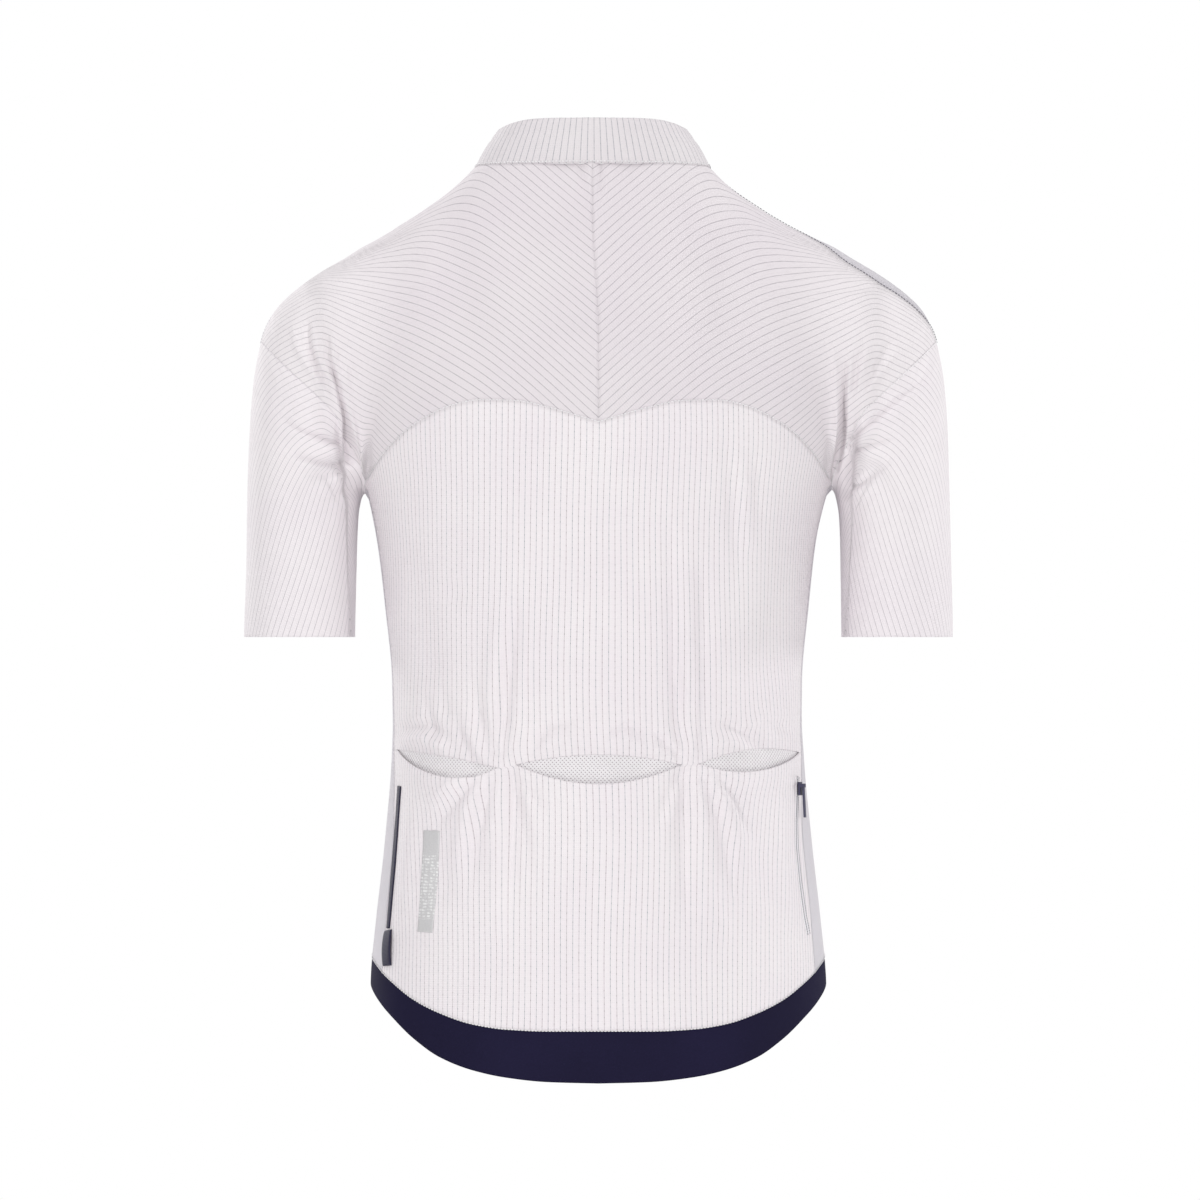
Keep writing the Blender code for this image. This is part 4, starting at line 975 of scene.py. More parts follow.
def striped_cloth(name, base, cool, warm, dark, knots, cross=0.0, fine=1.0, beside=None):
    """A light ripstop: fine lines along it, cool and warm in turn, a little darker where
    the faint cross threads pass, and a thin raised grid between them."""
    look = Look(name, 0.78, sheen=0.12)
    u, v = look.weave()
    loose = look.noise(34.0, 2.0)
    line = look.step(look.off_middle(u), 0.03 * fine, 0.1 * fine, 1.0, 0.0)
    turn = look.step(look.off_middle(u, 0.5, 0.25), 0.24, 0.26)
    wobble = look.linear(loose, 0.9, v)
    apart = look.linear(look.math("FLOOR", u), 0.37, wobble)
    knot = look.step(look.off_middle(apart), 0.03, 0.14, 1.0, 0.0)
    thin = look.step(look.off_middle(wobble), 0.02, 0.11, 1.0, 0.0)
    strength = look.linear(knot, knots, dark)
    broken = look.step(look.noise(160.0, 2.0), 0.3, 0.6, 0.72, 1.0)
    strength = look.times(strength, broken)
    across = look.step(look.off_middle(u, 3.0, 0.5), 0.10, 0.24, 1.0, 0.0)
    along = look.step(look.off_middle(v, 3.0), 0.10, 0.24, 1.0, 0.0)
    grid = look.math("MAXIMUM", across, along)
    cloudy = look.noise(14.0, 4.0)
    fibre = look.noise(900.0, 2.0)
    ground = look.mix(look.step(cloudy, 0.25, 0.75), tint(base, 0.965, 0.95, 0.97), base)
    # painted light: towards the arms the yoke's darker ground turns into a lighter one, for the
    # brighter lower yoke near the armholes
    if beside:  # the ground turns into this one towards the arms
        across_body = look.node("ShaderNodeSeparateXYZ", {0: look.place()}).outputs[0]
        ground = look.mix(look.step(look.math("ABSOLUTE", across_body), 0.12, 0.23), ground,
                          beside)
    ground = look.mix(look.times(grid, 0.3), ground, tint(base, 1.04))
    ground = look.mix(look.times(look.step(fibre, 0.35, 0.7), 0.10), ground, tint(base, 0.9))
    ground = look.mix(look.times(thin, cross), ground, cool)
    look.set("Base Color", look.mix(look.times(line, strength), ground,
                                    look.mix(turn, cool, warm)))
    look.set("Roughness", look.linear(line, -0.12, 0.78))
    threads = look.times(look.wave(u, 9.0), look.wave(v, 9.0))
    height = look.linear(grid, 0.55, look.times(threads, 0.18))
    height = look.linear(line, -0.5, height)
    height = look.linear(fibre, 0.25, height)
    look.bump(height, 0.00015)
    return look.material


def plain_knit(name, base, loops):
    """A fine plain knit: columns of small loops."""
    look = Look(name, 0.82, sheen=0.3)
    u, v = look.weave()
    column = look.math("ABSOLUTE", look.wave(u, loops / 2))
    lean = look.linear(column, 0.35, v)
    loop = look.times(column, look.math("ABSOLUTE", look.wave(lean, loops / 2)))
    cloudy = look.step(look.noise(16.0, 4.0), 0.25, 0.75)
    fibre = look.noise(1100.0, 2.0)
    ground = look.mix(cloudy, tint(base, 0.94), base)
    look.set("Base Color", look.mix(look.step(loop, 0.0, 0.55, 0.35, 0.0), ground,
                                    tint(base, 0.856)))
    look.set("Roughness", look.linear(fibre, 0.1, 0.77))
    look.bump(look.linear(fibre, 0.3, loop), 0.00016)
    return look.material


def perforated_mesh(name, base, hole_shade):
    """A white net with small round holes in staggered rows; its map is in millimetres."""
    pitch, row = 3.0, 1.5
    look = Look(name, 0.8, sheen=0.15)
    u, v = look.weave()
    rows = look.math("DIVIDE", v, row)
    odd = look.times(look.math("FLOORED_MODULO", look.math("FLOOR", rows), 2.0), 0.5)
    across = look.math("SUBTRACT", look.math(
        "FRACT", look.math("ADD", look.math("DIVIDE", u, pitch), odd)), 0.5)
    down = look.math("SUBTRACT", look.math("FRACT", rows), 0.5)
    far = look.math("SQRT", look.math(
        "ADD", look.math("POWER", look.times(across, pitch), 2.0),
        look.math("POWER", look.times(down, row * 1.15), 2.0)))
    open_part = look.step(far, 0.36, 0.6, 1.0, 0.0)
    cloudy = look.step(look.noise(30.0), 0.3, 0.7)
    ground = look.mix(cloudy, tint(base, 0.96), base)
    # painted shade: the holes' grey stands for the shade seen through the net
    look.set("Base Color", look.mix(open_part, ground, hole_shade))
    threads = look.times(look.wave(u, 1.6), look.wave(v, 1.6))
    look.bump(look.linear(open_part, -1.0, look.times(threads, 0.15)), 0.0005)
    return look.material


def thread(name, base, rough=0.6):
    """Sewing thread: fine twisted ribs."""
    look = Look(name, rough, sheen=0.2)
    fibre = look.noise(1600.0, 2.0)
    twist = look.node("ShaderNodeTexWave", {"Vector": look.place(), "Scale": 900.0,
                                            "Distortion": 1.5}, bands_direction="DIAGONAL")
    look.set("Base Color", look.mix(look.step(fibre, 0.3, 0.7, 0.25, 0.0), base,
                                    tint(base, 0.8)))
    look.bump(look.math("ADD", twist.outputs["Fac"], fibre), 0.00008)
    return look.material


def woven_tape(name, base, rough, contrast=0.1):
    """A flat woven tape with ribs across it; its map is in millimetres."""
    look = Look(name, rough, sheen=0.15)
    u, v = look.weave()
    rib = look.math("ABSOLUTE", look.wave(v, 0.5))
    cross = look.math("ABSOLUTE", look.wave(u, 0.8))
    height = look.linear(cross, 0.35, rib)
    fibre = look.noise(900.0, 2.0)
    ground = look.mix(look.step(height, 0.1, 1.0, contrast * 2, 0.0), base, tint(base, 0.7))
    look.set("Base Color", look.mix(look.step(fibre, 0.3, 0.7, contrast, 0.0), ground,
                                    tint(base, 0.75)))
    look.bump(look.linear(fibre, 0.3, height), 0.00015)
    return look.material


def gripper(name, base):
    """The hem's dense elastic: smooth, with fine ribs round the body."""
    look = Look(name, 0.78, specular=0.08)
    u, v = look.weave()
    rib = look.math("ABSOLUTE", look.wave(v, 0.5))
    fine = look.times(look.wave(u, 0.7), look.wave(v, 1.4))
    cloudy = look.step(look.noise(11.0, 5.0), 0.3, 0.75)
    fibre = look.noise(1200.0, 2.0)
    ground = look.mix(cloudy, tint(base, 0.86), tint(base, 1.12))
    look.set("Base Color", look.mix(look.step(fibre, 0.45, 0.8, 0.0, 0.3), ground,
                                    tint(base, 1.6, plus=0.003)))
    look.set("Roughness", look.linear(fibre, 0.16, 0.68))
    look.bump(look.linear(fine, 0.35, look.linear(rib, 0.6, fibre)), 0.00012)
    return look.material


def metal(name, base, rough, metallic):
    """Cast metal with a soft grain and lighter worn patches."""
    look = Look(name, rough, metallic, specular=0.5)
    grain = look.noise(420.0, 5.0)
    worn = look.step(look.noise(90.0, 4.0), 0.55, 0.75)
    look.set("Base Color", look.mix(look.times(worn, 0.25), base,
                                    tint(base, 1.5, plus=0.05)))
    look.set("Roughness", look.linear(grain, 0.22, rough - 0.08))
    look.bump(grain, 0.00006, 0.5)
    return look.material


def reflective(name):
    """Silver reflective film with fine glass beads and worn bars across it."""
    look = Look(name, 0.34, 0.2, specular=0.6)
    u, v = look.weave()
    beads = look.node("ShaderNodeTexVoronoi", {"Vector": look.place(), "Scale": 2600.0})
    bead = beads.outputs["Distance"]
    # plain bars of the film, lying across the patch, some worn thin
    bar = look.times(look.step(look.off_middle(v, 0.42), 0.16, 0.22),
                     look.step(look.off_middle(u, 0.19, 0.5), 0.06, 0.10))
    band = look.times(look.step(v, 18.0, 19.0), look.step(v, 66.0, 67.0, 1.0, 0.0))
    bar = look.times(bar, band)
    worn = look.step(look.noise(420.0, 5.0), 0.38, 0.62)
    silver = look.mix(look.step(bead, 0.1, 0.6), srgb(188, 187, 189), srgb(213, 212, 213))
    look.set("Base Color", look.mix(look.times(bar, worn), silver,
                                    srgb(240, 240, 240)))
    look.set("Roughness", look.linear(bar, 0.25, 0.36))
    look.bump(look.linear(bar, 0.8, bead), 0.0001)
    return look.material


def coated_plastic(name, base, rough=0.42):
    """Moulded pull: matt skin with a fine grain."""
    look = Look(name, rough, specular=0.5)
    grain = look.noise(700.0, 4.0)
    worn = look.step(look.noise(160.0, 3.0), 0.5, 0.8)
    look.set("Base Color", look.mix(look.times(worn, 0.3), base,
                                    tint(base, 1.8, plus=0.01)))
    look.set("Roughness", look.linear(grain, 0.25, rough - 0.1))
    look.bump(grain, 0.00005, 0.6)
    return look.material


def pale_floor(name, base):
    look = Look(name, 0.9)
    cloudy = look.noise(0.6, 4.0)
    look.set("Base Color", look.mix(look.step(cloudy, 0.3, 0.7), base, tint(base, 0.985)))
    look.bump(look.noise(220.0, 3.0), 0.0002, 0.3)
    return look.material


# --- stitches and teeth: repeated along a path --------------------------------------
def bead_tree(name):
    """Geometry Nodes: the same small rounded bead again and again along a path."""
    tree = bpy.data.node_groups.new(name, "GeometryNodeTree")
    face = tree.interface
    for way in ("INPUT", "OUTPUT"):
        face.new_socket("Geometry", in_out=way, socket_type="NodeSocketGeometry")
    for label, value in (("Pitch", 0.0026), ("Length", 0.0022), ("Width", 0.0006),
                         ("Height", 0.0004), ("Turn", 0.0)):
        socket = face.new_socket(label, in_out="INPUT", socket_type="NodeSocketFloat")
        socket.default_value = value
    face.new_socket("Finish", in_out="INPUT", socket_type="NodeSocketMaterial")

    def add(kind, **settings):
        node = tree.nodes.new(kind)
        for key, value in settings.items():
            setattr(node, key, value)
        return node

    def link(a, b):
        tree.links.new(a, b)

    given, result = add("NodeGroupInput"), add("NodeGroupOutput")
    path = add("GeometryNodeMeshToCurve")
    link(given.outputs["Geometry"], path.inputs["Mesh"])
    dots = add("GeometryNodeCurveToPoints", mode="LENGTH")
    link(path.outputs[0], dots.inputs["Curve"])
    link(given.outputs["Pitch"], dots.inputs["Length"])
    bead = add("GeometryNodeMeshUVSphere")
    bead.inputs["Segments"].default_value = 6
    bead.inputs["Rings"].default_value = 4
    bead.inputs["Radius"].default_value = 0.5
    # the path's tangent gives the bead's long way, the saved direction its height
    aside = add("GeometryNodeInputNamedAttribute", data_type="FLOAT_VECTOR")
    aside.inputs["Name"].default_value = "lift"
    rotate = add("FunctionNodeAxesToRotation", primary_axis="X", secondary_axis="Z")
    link(dots.outputs["Tangent"], rotate.inputs["Primary Axis"])
    link(aside.outputs["Attribute"], rotate.inputs["Secondary Axis"])
    lean = add("FunctionNodeRotateRotation", rotation_space="LOCAL")
    link(rotate.outputs[0], lean.inputs[0])
    spin = add("FunctionNodeAxisAngleToRotation")
    spin.inputs["Axis"].default_value = (0, 0, 1)
    link(given.outputs["Turn"], spin.inputs["Angle"])
    link(spin.outputs[0], lean.inputs[1])
    size = add("ShaderNodeCombineXYZ")
    for socket, label in zip(size.inputs, ("Length", "Width", "Height")):
        link(given.outputs[label], socket)
    set_on = add("GeometryNodeInstanceOnPoints")
    link(dots.outputs["Points"], set_on.inputs["Points"])
    link(bead.outputs["Mesh"], set_on.inputs["Instance"])
    link(lean.outputs[0], set_on.inputs["Rotation"])
    link(size.outputs[0], set_on.inputs["Scale"])
    real = add("GeometryNodeRealizeInstances")
    smooth = add("GeometryNodeSetShadeSmooth")
    paint = add("GeometryNodeSetMaterial")
    link(set_on.outputs[0], real.inputs[0])
    link(real.outputs[0], smooth.inputs[0])
    link(smooth.outputs[0], paint.inputs[0])
    link(given.outputs["Finish"], paint.inputs["Material"])
    link(paint.outputs[0], result.inputs[0])
    return tree


def beads_along(name, paths, look, pitch, size, turn=0.0):
    """Stitches or teeth along paths; each path is points and the way out at each.

    size is a bead's length, width and height, turn its angle to the path.
    """
    edges, start = [], 0
    for line, _ in paths:
        edges += [(start + k, start + k + 1) for k in range(len(line) - 1)]
        start += len(line)
    mesh = bpy.data.meshes.new(name + "_path")
    mesh.from_pydata((np.concatenate([line for line, _ in paths]) * MM).tolist(), edges, [])
    lift = mesh.attributes.new("lift", "FLOAT_VECTOR", "POINT")
    lift.data.foreach_set("vector", np.concatenate([out for _, out in paths]).ravel())
    path = bpy.data.objects.new(name + "_path", mesh)
    bpy.context.scene.collection.objects.link(path)
    tree = bpy.data.node_groups.get("beads along a path") or bead_tree("beads along a path")
    step = path.modifiers.new("beads", "NODES")
    step.node_group = tree
    given = {"Pitch": pitch * MM, "Turn": turn, "Finish": finish(look),
             **{label: value * MM for label, value in zip(("Length", "Width", "Height"), size)}}
    for item in tree.interface.items_tree:
        if item.in_out == "INPUT" and item.name in given:
            step[item.identifier] = given[item.name]
    bpy.context.view_layer.update()
    graph = bpy.context.evaluated_depsgraph_get()
    beads = bpy.data.meshes.new_from_object(path.evaluated_get(graph))
    made = bpy.data.objects.new(name, beads)
    bpy.context.scene.collection.objects.link(made)
    bpy.data.objects.remove(path, do_unlink=True)
    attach(made, "jersey")


def fix_normals(made):
    """Turns a closed mesh's faces outwards."""
    mesh = made.data
    work = bmesh.new()
    work.from_mesh(mesh)
    bmesh.ops.recalc_face_normals(work, faces=work.faces)
    work.to_mesh(mesh)
    work.free()
    mesh.update()


# --- what a user may change ----------------------------------------------------------
class JerseySizes(bpy.types.PropertyGroup):
    """Sizes of the jersey's cloth and sewing."""

    wall: bpy.props.FloatProperty(
        name="Cloth wall", description="Thickness of the visible cloth", default=0.0009,
        min=0.0003, max=0.0012, precision=4, unit="LENGTH")
    folds: bpy.props.FloatProperty(
        name="Folds", description="How deep the folds are, 1 as worn", default=1.0,
        min=0.0, max=1.5, subtype="FACTOR")
    stripe_gap: bpy.props.FloatProperty(
        name="Stripe gap", description="From one stripe of the back to the next",
        default=0.0048, min=0.002, max=0.02, precision=4, unit="LENGTH")
    chevron_gap: bpy.props.FloatProperty(
        name="Chevron gap", description="From one stripe of the yoke and sleeves to the next",
        default=0.0052, min=0.002, max=0.02, precision=4, unit="LENGTH")
    collar_gap: bpy.props.FloatProperty(
        name="Collar stripe gap", description="From one stripe of the collar to the next",
        default=0.0053, min=0.002, max=0.02, precision=4, unit="LENGTH")
    stitch: bpy.props.FloatProperty(
        name="Stitch", description="Length of one seam stitch with its gap", default=0.0026,
        min=0.001, max=0.006, precision=4, unit="LENGTH")
    tooth: bpy.props.FloatProperty(
        name="Tooth pitch", description="From one zip tooth to the next", default=0.0015,
        min=0.0008, max=0.004, precision=4, unit="LENGTH")


class JerseyColours(bpy.types.PropertyGroup):
    """Colours of the jersey's cloth and trim."""

    cloth: bpy.props.FloatVectorProperty(
        name="Cloth", description="Ground of the back and collar", subtype="COLOR",
        default=srgb(245, 240, 242), min=0, max=1)
    # Painted shade: the yoke is the same cloth as the sleeves, which take the back's lighter
    # ground; this darker ground stands for the shade on the upward-facing yoke.
    yoke: bpy.props.FloatVectorProperty(
        name="Yoke", description="Ground of the yoke and sleeves", subtype="COLOR",
        default=srgb(232, 226, 229), min=0, max=1)
    cool: bpy.props.FloatVectorProperty(
        name="Cool stripe", description="Every other stripe of the back", subtype="COLOR",
        default=srgb(146, 149, 157), min=0, max=1)
    warm: bpy.props.FloatVectorProperty(
        name="Warm stripe", description="The stripes between them", subtype="COLOR",
        default=srgb(160, 147, 153), min=0, max=1)
    chevron: bpy.props.FloatVectorProperty(
        name="Chevron stripe", description="Stripes of the yoke and sleeves", subtype="COLOR",
        default=srgb(128, 123, 132), min=0, max=1)
    plain: bpy.props.FloatVectorProperty(
        name="Plain knit", description="Fronts and side panels", subtype="COLOR",
        default=srgb(224, 220, 226), min=0, max=1)
    navy: bpy.props.FloatVectorProperty(
        name="Navy", description="Hem band, strip, label and pocket pull", subtype="COLOR",
        default=srgb(33, 30, 58), min=0, max=1)
    thread: bpy.props.FloatVectorProperty(
        name="Thread", description="Visible stitching", subtype="COLOR",
        default=srgb(250, 249, 250), min=0, max=1)


FINISHES = {}


def sizes():
    return bpy.context.scene.jersey_sizes


def colours():
    return bpy.context.scene.jersey_colours


def makers():
    """Each finish of the jersey: the function that makes it and what that is given."""
    c = colours()
    cloth, yoke, cool, warm, arrow, plain, navy, sewing = (tuple(value) for value in (
        c.cloth, c.yoke, c.cool, c.warm, c.chevron, c.plain, c.navy, c.thread))
    return {
        # name, ground, the two stripes, their strength, knots and cross threads, line width
        "stripes": (striped_cloth, "striped ripstop", cloth, cool, warm, 0.46, 0.36, 0.03),
        # painted shade: the collar is the back's cloth, darkened to stand for the shade on it
        "collar": (striped_cloth, "collar ripstop", tint(cloth, 0.87), cool, cool, 0.55, 0.2),
        # painted light and shade: the yoke and sleeves are one cloth, but the yoke gets the
        # darker yoke ground and the sleeves the lighter back ground, for how each faces the
        # lamps; the yoke's ground also turns into a lighter one towards the arms, as painted
        # light
        "chevrons": (striped_cloth, "chevron ripstop", yoke, arrow, arrow, 0.5, 0.1, 0.0, 0.8,
                     tint(cloth, 0.98)),
        "sleeve chevrons": (striped_cloth, "sleeve ripstop", cloth, arrow, arrow, 0.46, 0.1,
                            0.0, 0.8),
        "plain": (plain_knit, "plain knit", plain, 6.0),
        # painted light and shade: the net's ground is lifted to full white against the shade in
        # the pocket's recess, and its holes are grey for the shade seen through them
        "mesh": (perforated_mesh, "perforated mesh", srgb(255, 252, 254), srgb(204, 193, 199)),
        "grip": (gripper, "navy gripper", tint(navy, 0.86)),
        "navy tape": (woven_tape, "navy tape", navy, 0.6),
        "zip tape": (woven_tape, "zip tape", srgb(240, 237, 240), 0.7),
        # painted light: the pocket zip's tape is lifted to near white, lighter than the front
        # zip's, to offset the shade where the side turns away from the lamps
        "pocket tape": (woven_tape, "pocket zip tape", srgb(255, 252, 255), 0.8, 0.02),
        "pale coil": (thread, "pale coil", srgb(250, 248, 252), 0.5),
        "thread": (thread, "white thread", sewing),
        "soft thread": (thread, "cloth-coloured thread", srgb(236, 232, 237)),
        # dark thread: the pocket zip's stitching, and along the right shoulder seam a painted
        # shade of the seam's gap
        "dark thread": (thread, "dark thread", srgb(66, 61, 80)),
        "coil": (coated_plastic, "zip coil", srgb(214, 214, 220), 0.35),
        "metal": (metal, "zip metal", srgb(176, 177, 183), 0.32, 0.9),
        "dark metal": (metal, "painted zip metal", srgb(58, 56, 78), 0.4, 0.55),
        "pull": (coated_plastic, "pull", srgb(196, 196, 203)),
        "navy pull": (coated_plastic, "navy pull", srgb(46, 44, 74)),
        "reflective": (reflective, "reflective film"),
        "floor": (pale_floor, "pale floor", srgb(252, 252, 252)),
    }


def finish(name):
    """A material of the jersey, made when it is first asked for."""
    if name not in FINISHES:
        maker, *given = makers()[name]
        FINISHES[name] = maker(*given)
    return FINISHES[name]


OUTER = {}  # the outer face of each finished panel, for what is sewn on top


def sew(name, node, slot, look, cut, points, uv, **ways):
    """One finished panel: its shell, material and body. The cut is not used."""
    made, outer, quads = shell(name, points, uv, **{
        "wall": sizes().wall / MM, "folds": sizes().folds, **ways})
    OUTER[name] = (outer, quads)
    dress(made, node, look)


class Piece:
    """Shared by the operators that build the jersey."""

    bl_options = {"REGISTER", "UNDO"}


class BuildBack(Piece, bpy.types.Operator):
    """The back panel, open at its three pocket mouths"""

    bl_idname = "jersey.back"
    bl_label = "Back"

    def execute(self, context):
        rows_up, rows_low = 80, 63
        halves = {}
        for name, side in SIDES:
            top = yoke_edge(side, FINE_AT)
            lip_up, lip_down, slit = mouth_lips(side, name, FINE_AT)
            t = rows_to_mouth(rows_up)[:, None]
            up = on_column(FINE_AT[None], top[:, 2] + (lip_up - top[:, 2]) * t, side)
            edge = side_edge(side, "back", rows_up, rows_low)
            up[0], up[:, -1] = top, edge[: rows_up + 1]
            hem = hem_points(hem_angles(FINE_AT, UNDER, ACROSS)[0], 0, side)
            t = rows_from_mouth(rows_low)[:, None]
            low = on_column(FINE_AT[None], lip_down + (hem[:, 2] - lip_down) * t, side)
            low[-1], low[:, -1] = hem, edge[rows_up:]
            halves[name] = (up, low, slit)
        left, right = halves["left"], halves["right"]
        ups, lows = (np.concatenate([left[k][:, ::-1], right[k][:, 1:]], 1) for k in (0, 1))
        slits = np.concatenate([left[2][::-1], right[2][1:]])
        cols, first_low = ups.shape[1], ups.shape[0] * ups.shape[1]
        points = np.concatenate([ups, lows])
        run = run_along(points, 1)
        across = (run[:, cols // 2, None] - run).ravel()
        points = points.reshape(-1, 3)
        gap = sizes().stripe_gap / MM
        # away from the centre the stripes get closer together, more so on the right
        far = np.abs(across)
        closer = np.where(across > 0, 0.075, 0.165) * (far - 34 * np.tanh(far / 34))
        across = across + np.sign(across) * closer
        below = np.arange(len(points)) >= first_low
        across += stripe_drift(points[:, 0], points[:, 2], below)
        uv = grid_uv(across + gap / 2, -points[:, 2] * gap / CROSS_GAP, gap)
        out = normal(points)
        edge = np.zeros(len(points), bool)
        edge[:cols] = edge[-cols:] = True
        swell = np.where(edge, 0, pocket_swell(points[:, 0], points[:, 2]))
        points = points + swell[:, None] * out
        merge = {first_low + c: first_low - cols + c for c in range(cols) if not slits[c]}
        quads = quads_of(ups.shape[0], cols) + quads_of(lows.shape[0], cols, first_low)
        quads = [tuple(merge.get(v, v) for v in q) for q in quads]
        free = np.zeros(len(points), bool)
        for c in range(cols):
            if slits[c] or slits[max(c - 1, 0)] or slits[min(c + 1, cols - 1)]:
                free[first_low - cols + c] = free[first_low + c] = True
        sew("back_cloth", "back_panel", "cloth", "stripes", "back", points, uv, quads=quads,
            free=free)
        return {"FINISHED"}


def stripe_drift(x, z, below):
    """How far the back's stripes are pushed aside over its folds and pockets."""
    drift = 0.7 * np.sin(z / 46 + x / 61) + 0.45 * np.sin(z / 27 - x / 43 + 1)
    # a spot, its half widths, the push there, and whether it is below a mouth (None: both)
    for cx, cz, wx, wz, push, under in (
            (64, -440, 13, 15, -3.6, None), (-64, -440, 13, 15, 3.6, None),
            (62, -380, 14, 50, 1.3, False), (-66, -390, 14, 46, -1.2, False),
            (112, -450, 26, 14, -3.6, False), (-112, -446, 26, 14, 3.0, False),
            (116, -462, 24, 15, -9.0, True), (-116, -458, 24, 15, 6.0, True),
            (88, -478, 16, 22, -3.0, True), (-90, -480, 16, 30, 2.6, True)):
        here = push * np.exp(-((x - cx) / wx) ** 2 - ((z - cz) / wz) ** 2)
        drift = drift + (here if under is None else np.where(below == under, here, 0))
    return drift


class BuildPocketMesh(Piece, bpy.types.Operator):
    """The perforated linings behind the three pocket mouths"""

    bl_idname = "jersey.pocket_mesh"
    bl_label = "Pocket mesh"

    def execute(self, context):
        def on_both(line, z):
            """Points at columns of both halves; those of the right are less than 0."""
            left, right = (on_column(np.abs(line), z, side) for _, side in SIDES)
            return np.where(line[:, None] < 0, right, left)

        side_mouth = FINE_AT[MIDDLE + BRIDGE:MIDDLE + BRIDGE + MOUTH + 1]
        lines = {"left": side_mouth, "right": -side_mouth,
                 "centre": np.concatenate([-FINE_AT[MIDDLE:0:-1], FINE_AT[:MIDDLE + 1]])}
        share = spread(70)[:, None] ** 1.3  # the rows, closer together at the mouth
        for name, x0, z0, x1, z1, up, down in POCKETS:
            line = lines[name]
            x = on_both(line, np.full(len(line), MOUTH_Z))[:, 0]
            t = np.clip((x - x0) / (x1 - x0), 0, 1)
            lens = 4 * t * (1 - t)
            chord = z0 + (z1 - z0) * t
            upper, lower = chord + up * lens, chord - down * lens
            top = upper + 7  # sewn on a little above the lip
            z = top + (MOUTH_Z - POCKET_DEPTH - top) * share
            grid = on_both(line, z)
            uv = grid_uv(run_along(grid, 1), -z)
            out = normal(grid)
            # it follows the cloth above the mouth and hangs a little free behind the lip
            high = pocket_swell(grid[..., 0], np.maximum(grid[..., 2], upper + 0.1))
            deep = 0.5 * pocket_swell(grid[..., 0], np.minimum(grid[..., 2], lower - 0.1))
            passed = soft_step(0, 1, (upper + 2 - grid[..., 2]) / np.maximum(upper - lower, 4))
            stand = high + (deep - high) * passed
            sag = LINING_SAG * lens ** 0.7 * np.sin(np.pi * share) ** 2
            grid = grid + out * (stand - sag - sizes().wall / MM - 0.25)[..., None]
            sew("pocket_lining_" + name, "pocket_mesh_" + name, "mesh", "mesh",
                "mesh centre" if name == "centre" else "mesh side", grid, uv, outward=out,
                wall=0.5, groove=0.0)
        return {"FINISHED"}


# The stripes of the yoke rise from the centre back and flatten towards the armhole; on
# the sleeve they bend down to run along it. Both meet in one arch over the armhole.
RISE = ((0, -284.0), (66, -226.6), (90, -207.7), (112, -192.6), (134, -178.0), (157, -163.4),
        (180, -149.5), (205, -136.0), (240, -122.0), (300, -104.0))
SPACING = ((0, 6.9), (74, 6.86), (104, 6.75), (119, 6.62), (134, 6.35), (157, 5.7), (180, 5.1),
           (200, 4.75), (230, 4.6), (300, 4.6))
SLEEVE_LINE = ((60, 18), (4, 24), (4, 33), (4, 42), (4, 50), (8, 57), (14, 61), (16, 65),
               (20, 69), (25, 72), (60, 74), (90, 66))  # lengths and slopes, going down
SLEEVE_START = (150.0, -201.5)
SLEEVE_GAP = 4.55
ROLL = 50.0  # the shoulder's roundness
rise_of, spacing_of = curve(*zip(*RISE)), curve(*zip(*SPACING))


def from_line(x, z, start, legs):
    """Signed distance from a bent line (above is more than 0) and the way along it."""
    spots, far = [np.array(start)], [0.0]
    for length, slope in legs:
        way = np.array([math.cos(math.radians(slope)), -math.sin(math.radians(slope))])
        spots.append(spots[-1] + length * way)
        far.append(far[-1] + length)
    fine = np.linspace(0, far[-1], 160)
    line = np.stack([curve(far, [p[k] for p in spots])(fine) for k in (0, 1)], -1)
    best, off, along = np.full(x.shape, 1e9), np.zeros(x.shape), np.zeros(x.shape)
    for k, (a, b) in enumerate(zip(line[:-1], line[1:])):
        step = b - a
        t = ((x - a[0]) * step[0] + (z - a[1]) * step[1]) / (step @ step)
        t = np.clip(t, -1e3 if k == 0 else 0, 1e3 if k == len(line) - 2 else 1)
        dx, dz = x - a[0] - t * step[0], z - a[1] - t * step[1]
        here = np.hypot(dx, dz)
        near = here < best
        best = np.where(near, here, best)
        sign = np.sign(step[0] * dz - step[1] * dx)
        off = np.where(near, here * sign, off)
        along = np.where(near, fine[k] + t * (fine[k + 1] - fine[k]), along)
    return off, along


def chevron(x, z):
    """The stripe number and the way along the stripe at points of the yoke or sleeve."""
    x = np.abs(x)
    yoke = (z - rise_of(x)) / spacing_of(x)
    # the highest stripes flatten sooner
    flat = 2.0 * (np.clip(x - 74, 0, 50) / 30) ** 2 + 0.22 * np.maximum(x - 124, 0)
    for _ in range(6):
        yoke = (z - rise_of(x) + flat * (np.clip(yoke, 0, 26) / 20) ** 3) / spacing_of(x)
    # and none of them reaches the inner side of the sleeve
    yoke = yoke - 0.24 * np.maximum(-203 - z, 0) * np.clip((x - 178) / 6, 0, 1)
    off, along = from_line(x, z, SLEEVE_START, SLEEVE_LINE)
    # outside its first line the sleeve's run straight, as steeply as at (244.7, -281.7)
    lower = math.radians(71)
    straight = math.cos(lower) * (z + 281.7) + math.sin(lower) * (x - 244.7)
    off = off + soft_step(0, 14, -off) * (straight - off)
    sleeve = off / SLEEVE_GAP - 17.8
    soft = 0.9
    share = 1 / (1 + np.exp(np.clip(-(sleeve - yoke) / soft, -40, 40)))
    both = np.maximum(yoke, sleeve) + soft * np.log1p(np.exp(-np.abs(sleeve - yoke) / soft))
    way = 0.8 * x + 0.6 * (z - SLEEVE_START[1]) * np.clip((200 - x) / 80, 0, 1)
    return both - soft * math.log(2) * 4 * share * (1 - share), (
        (1 - share) * way + share * (along + 60))


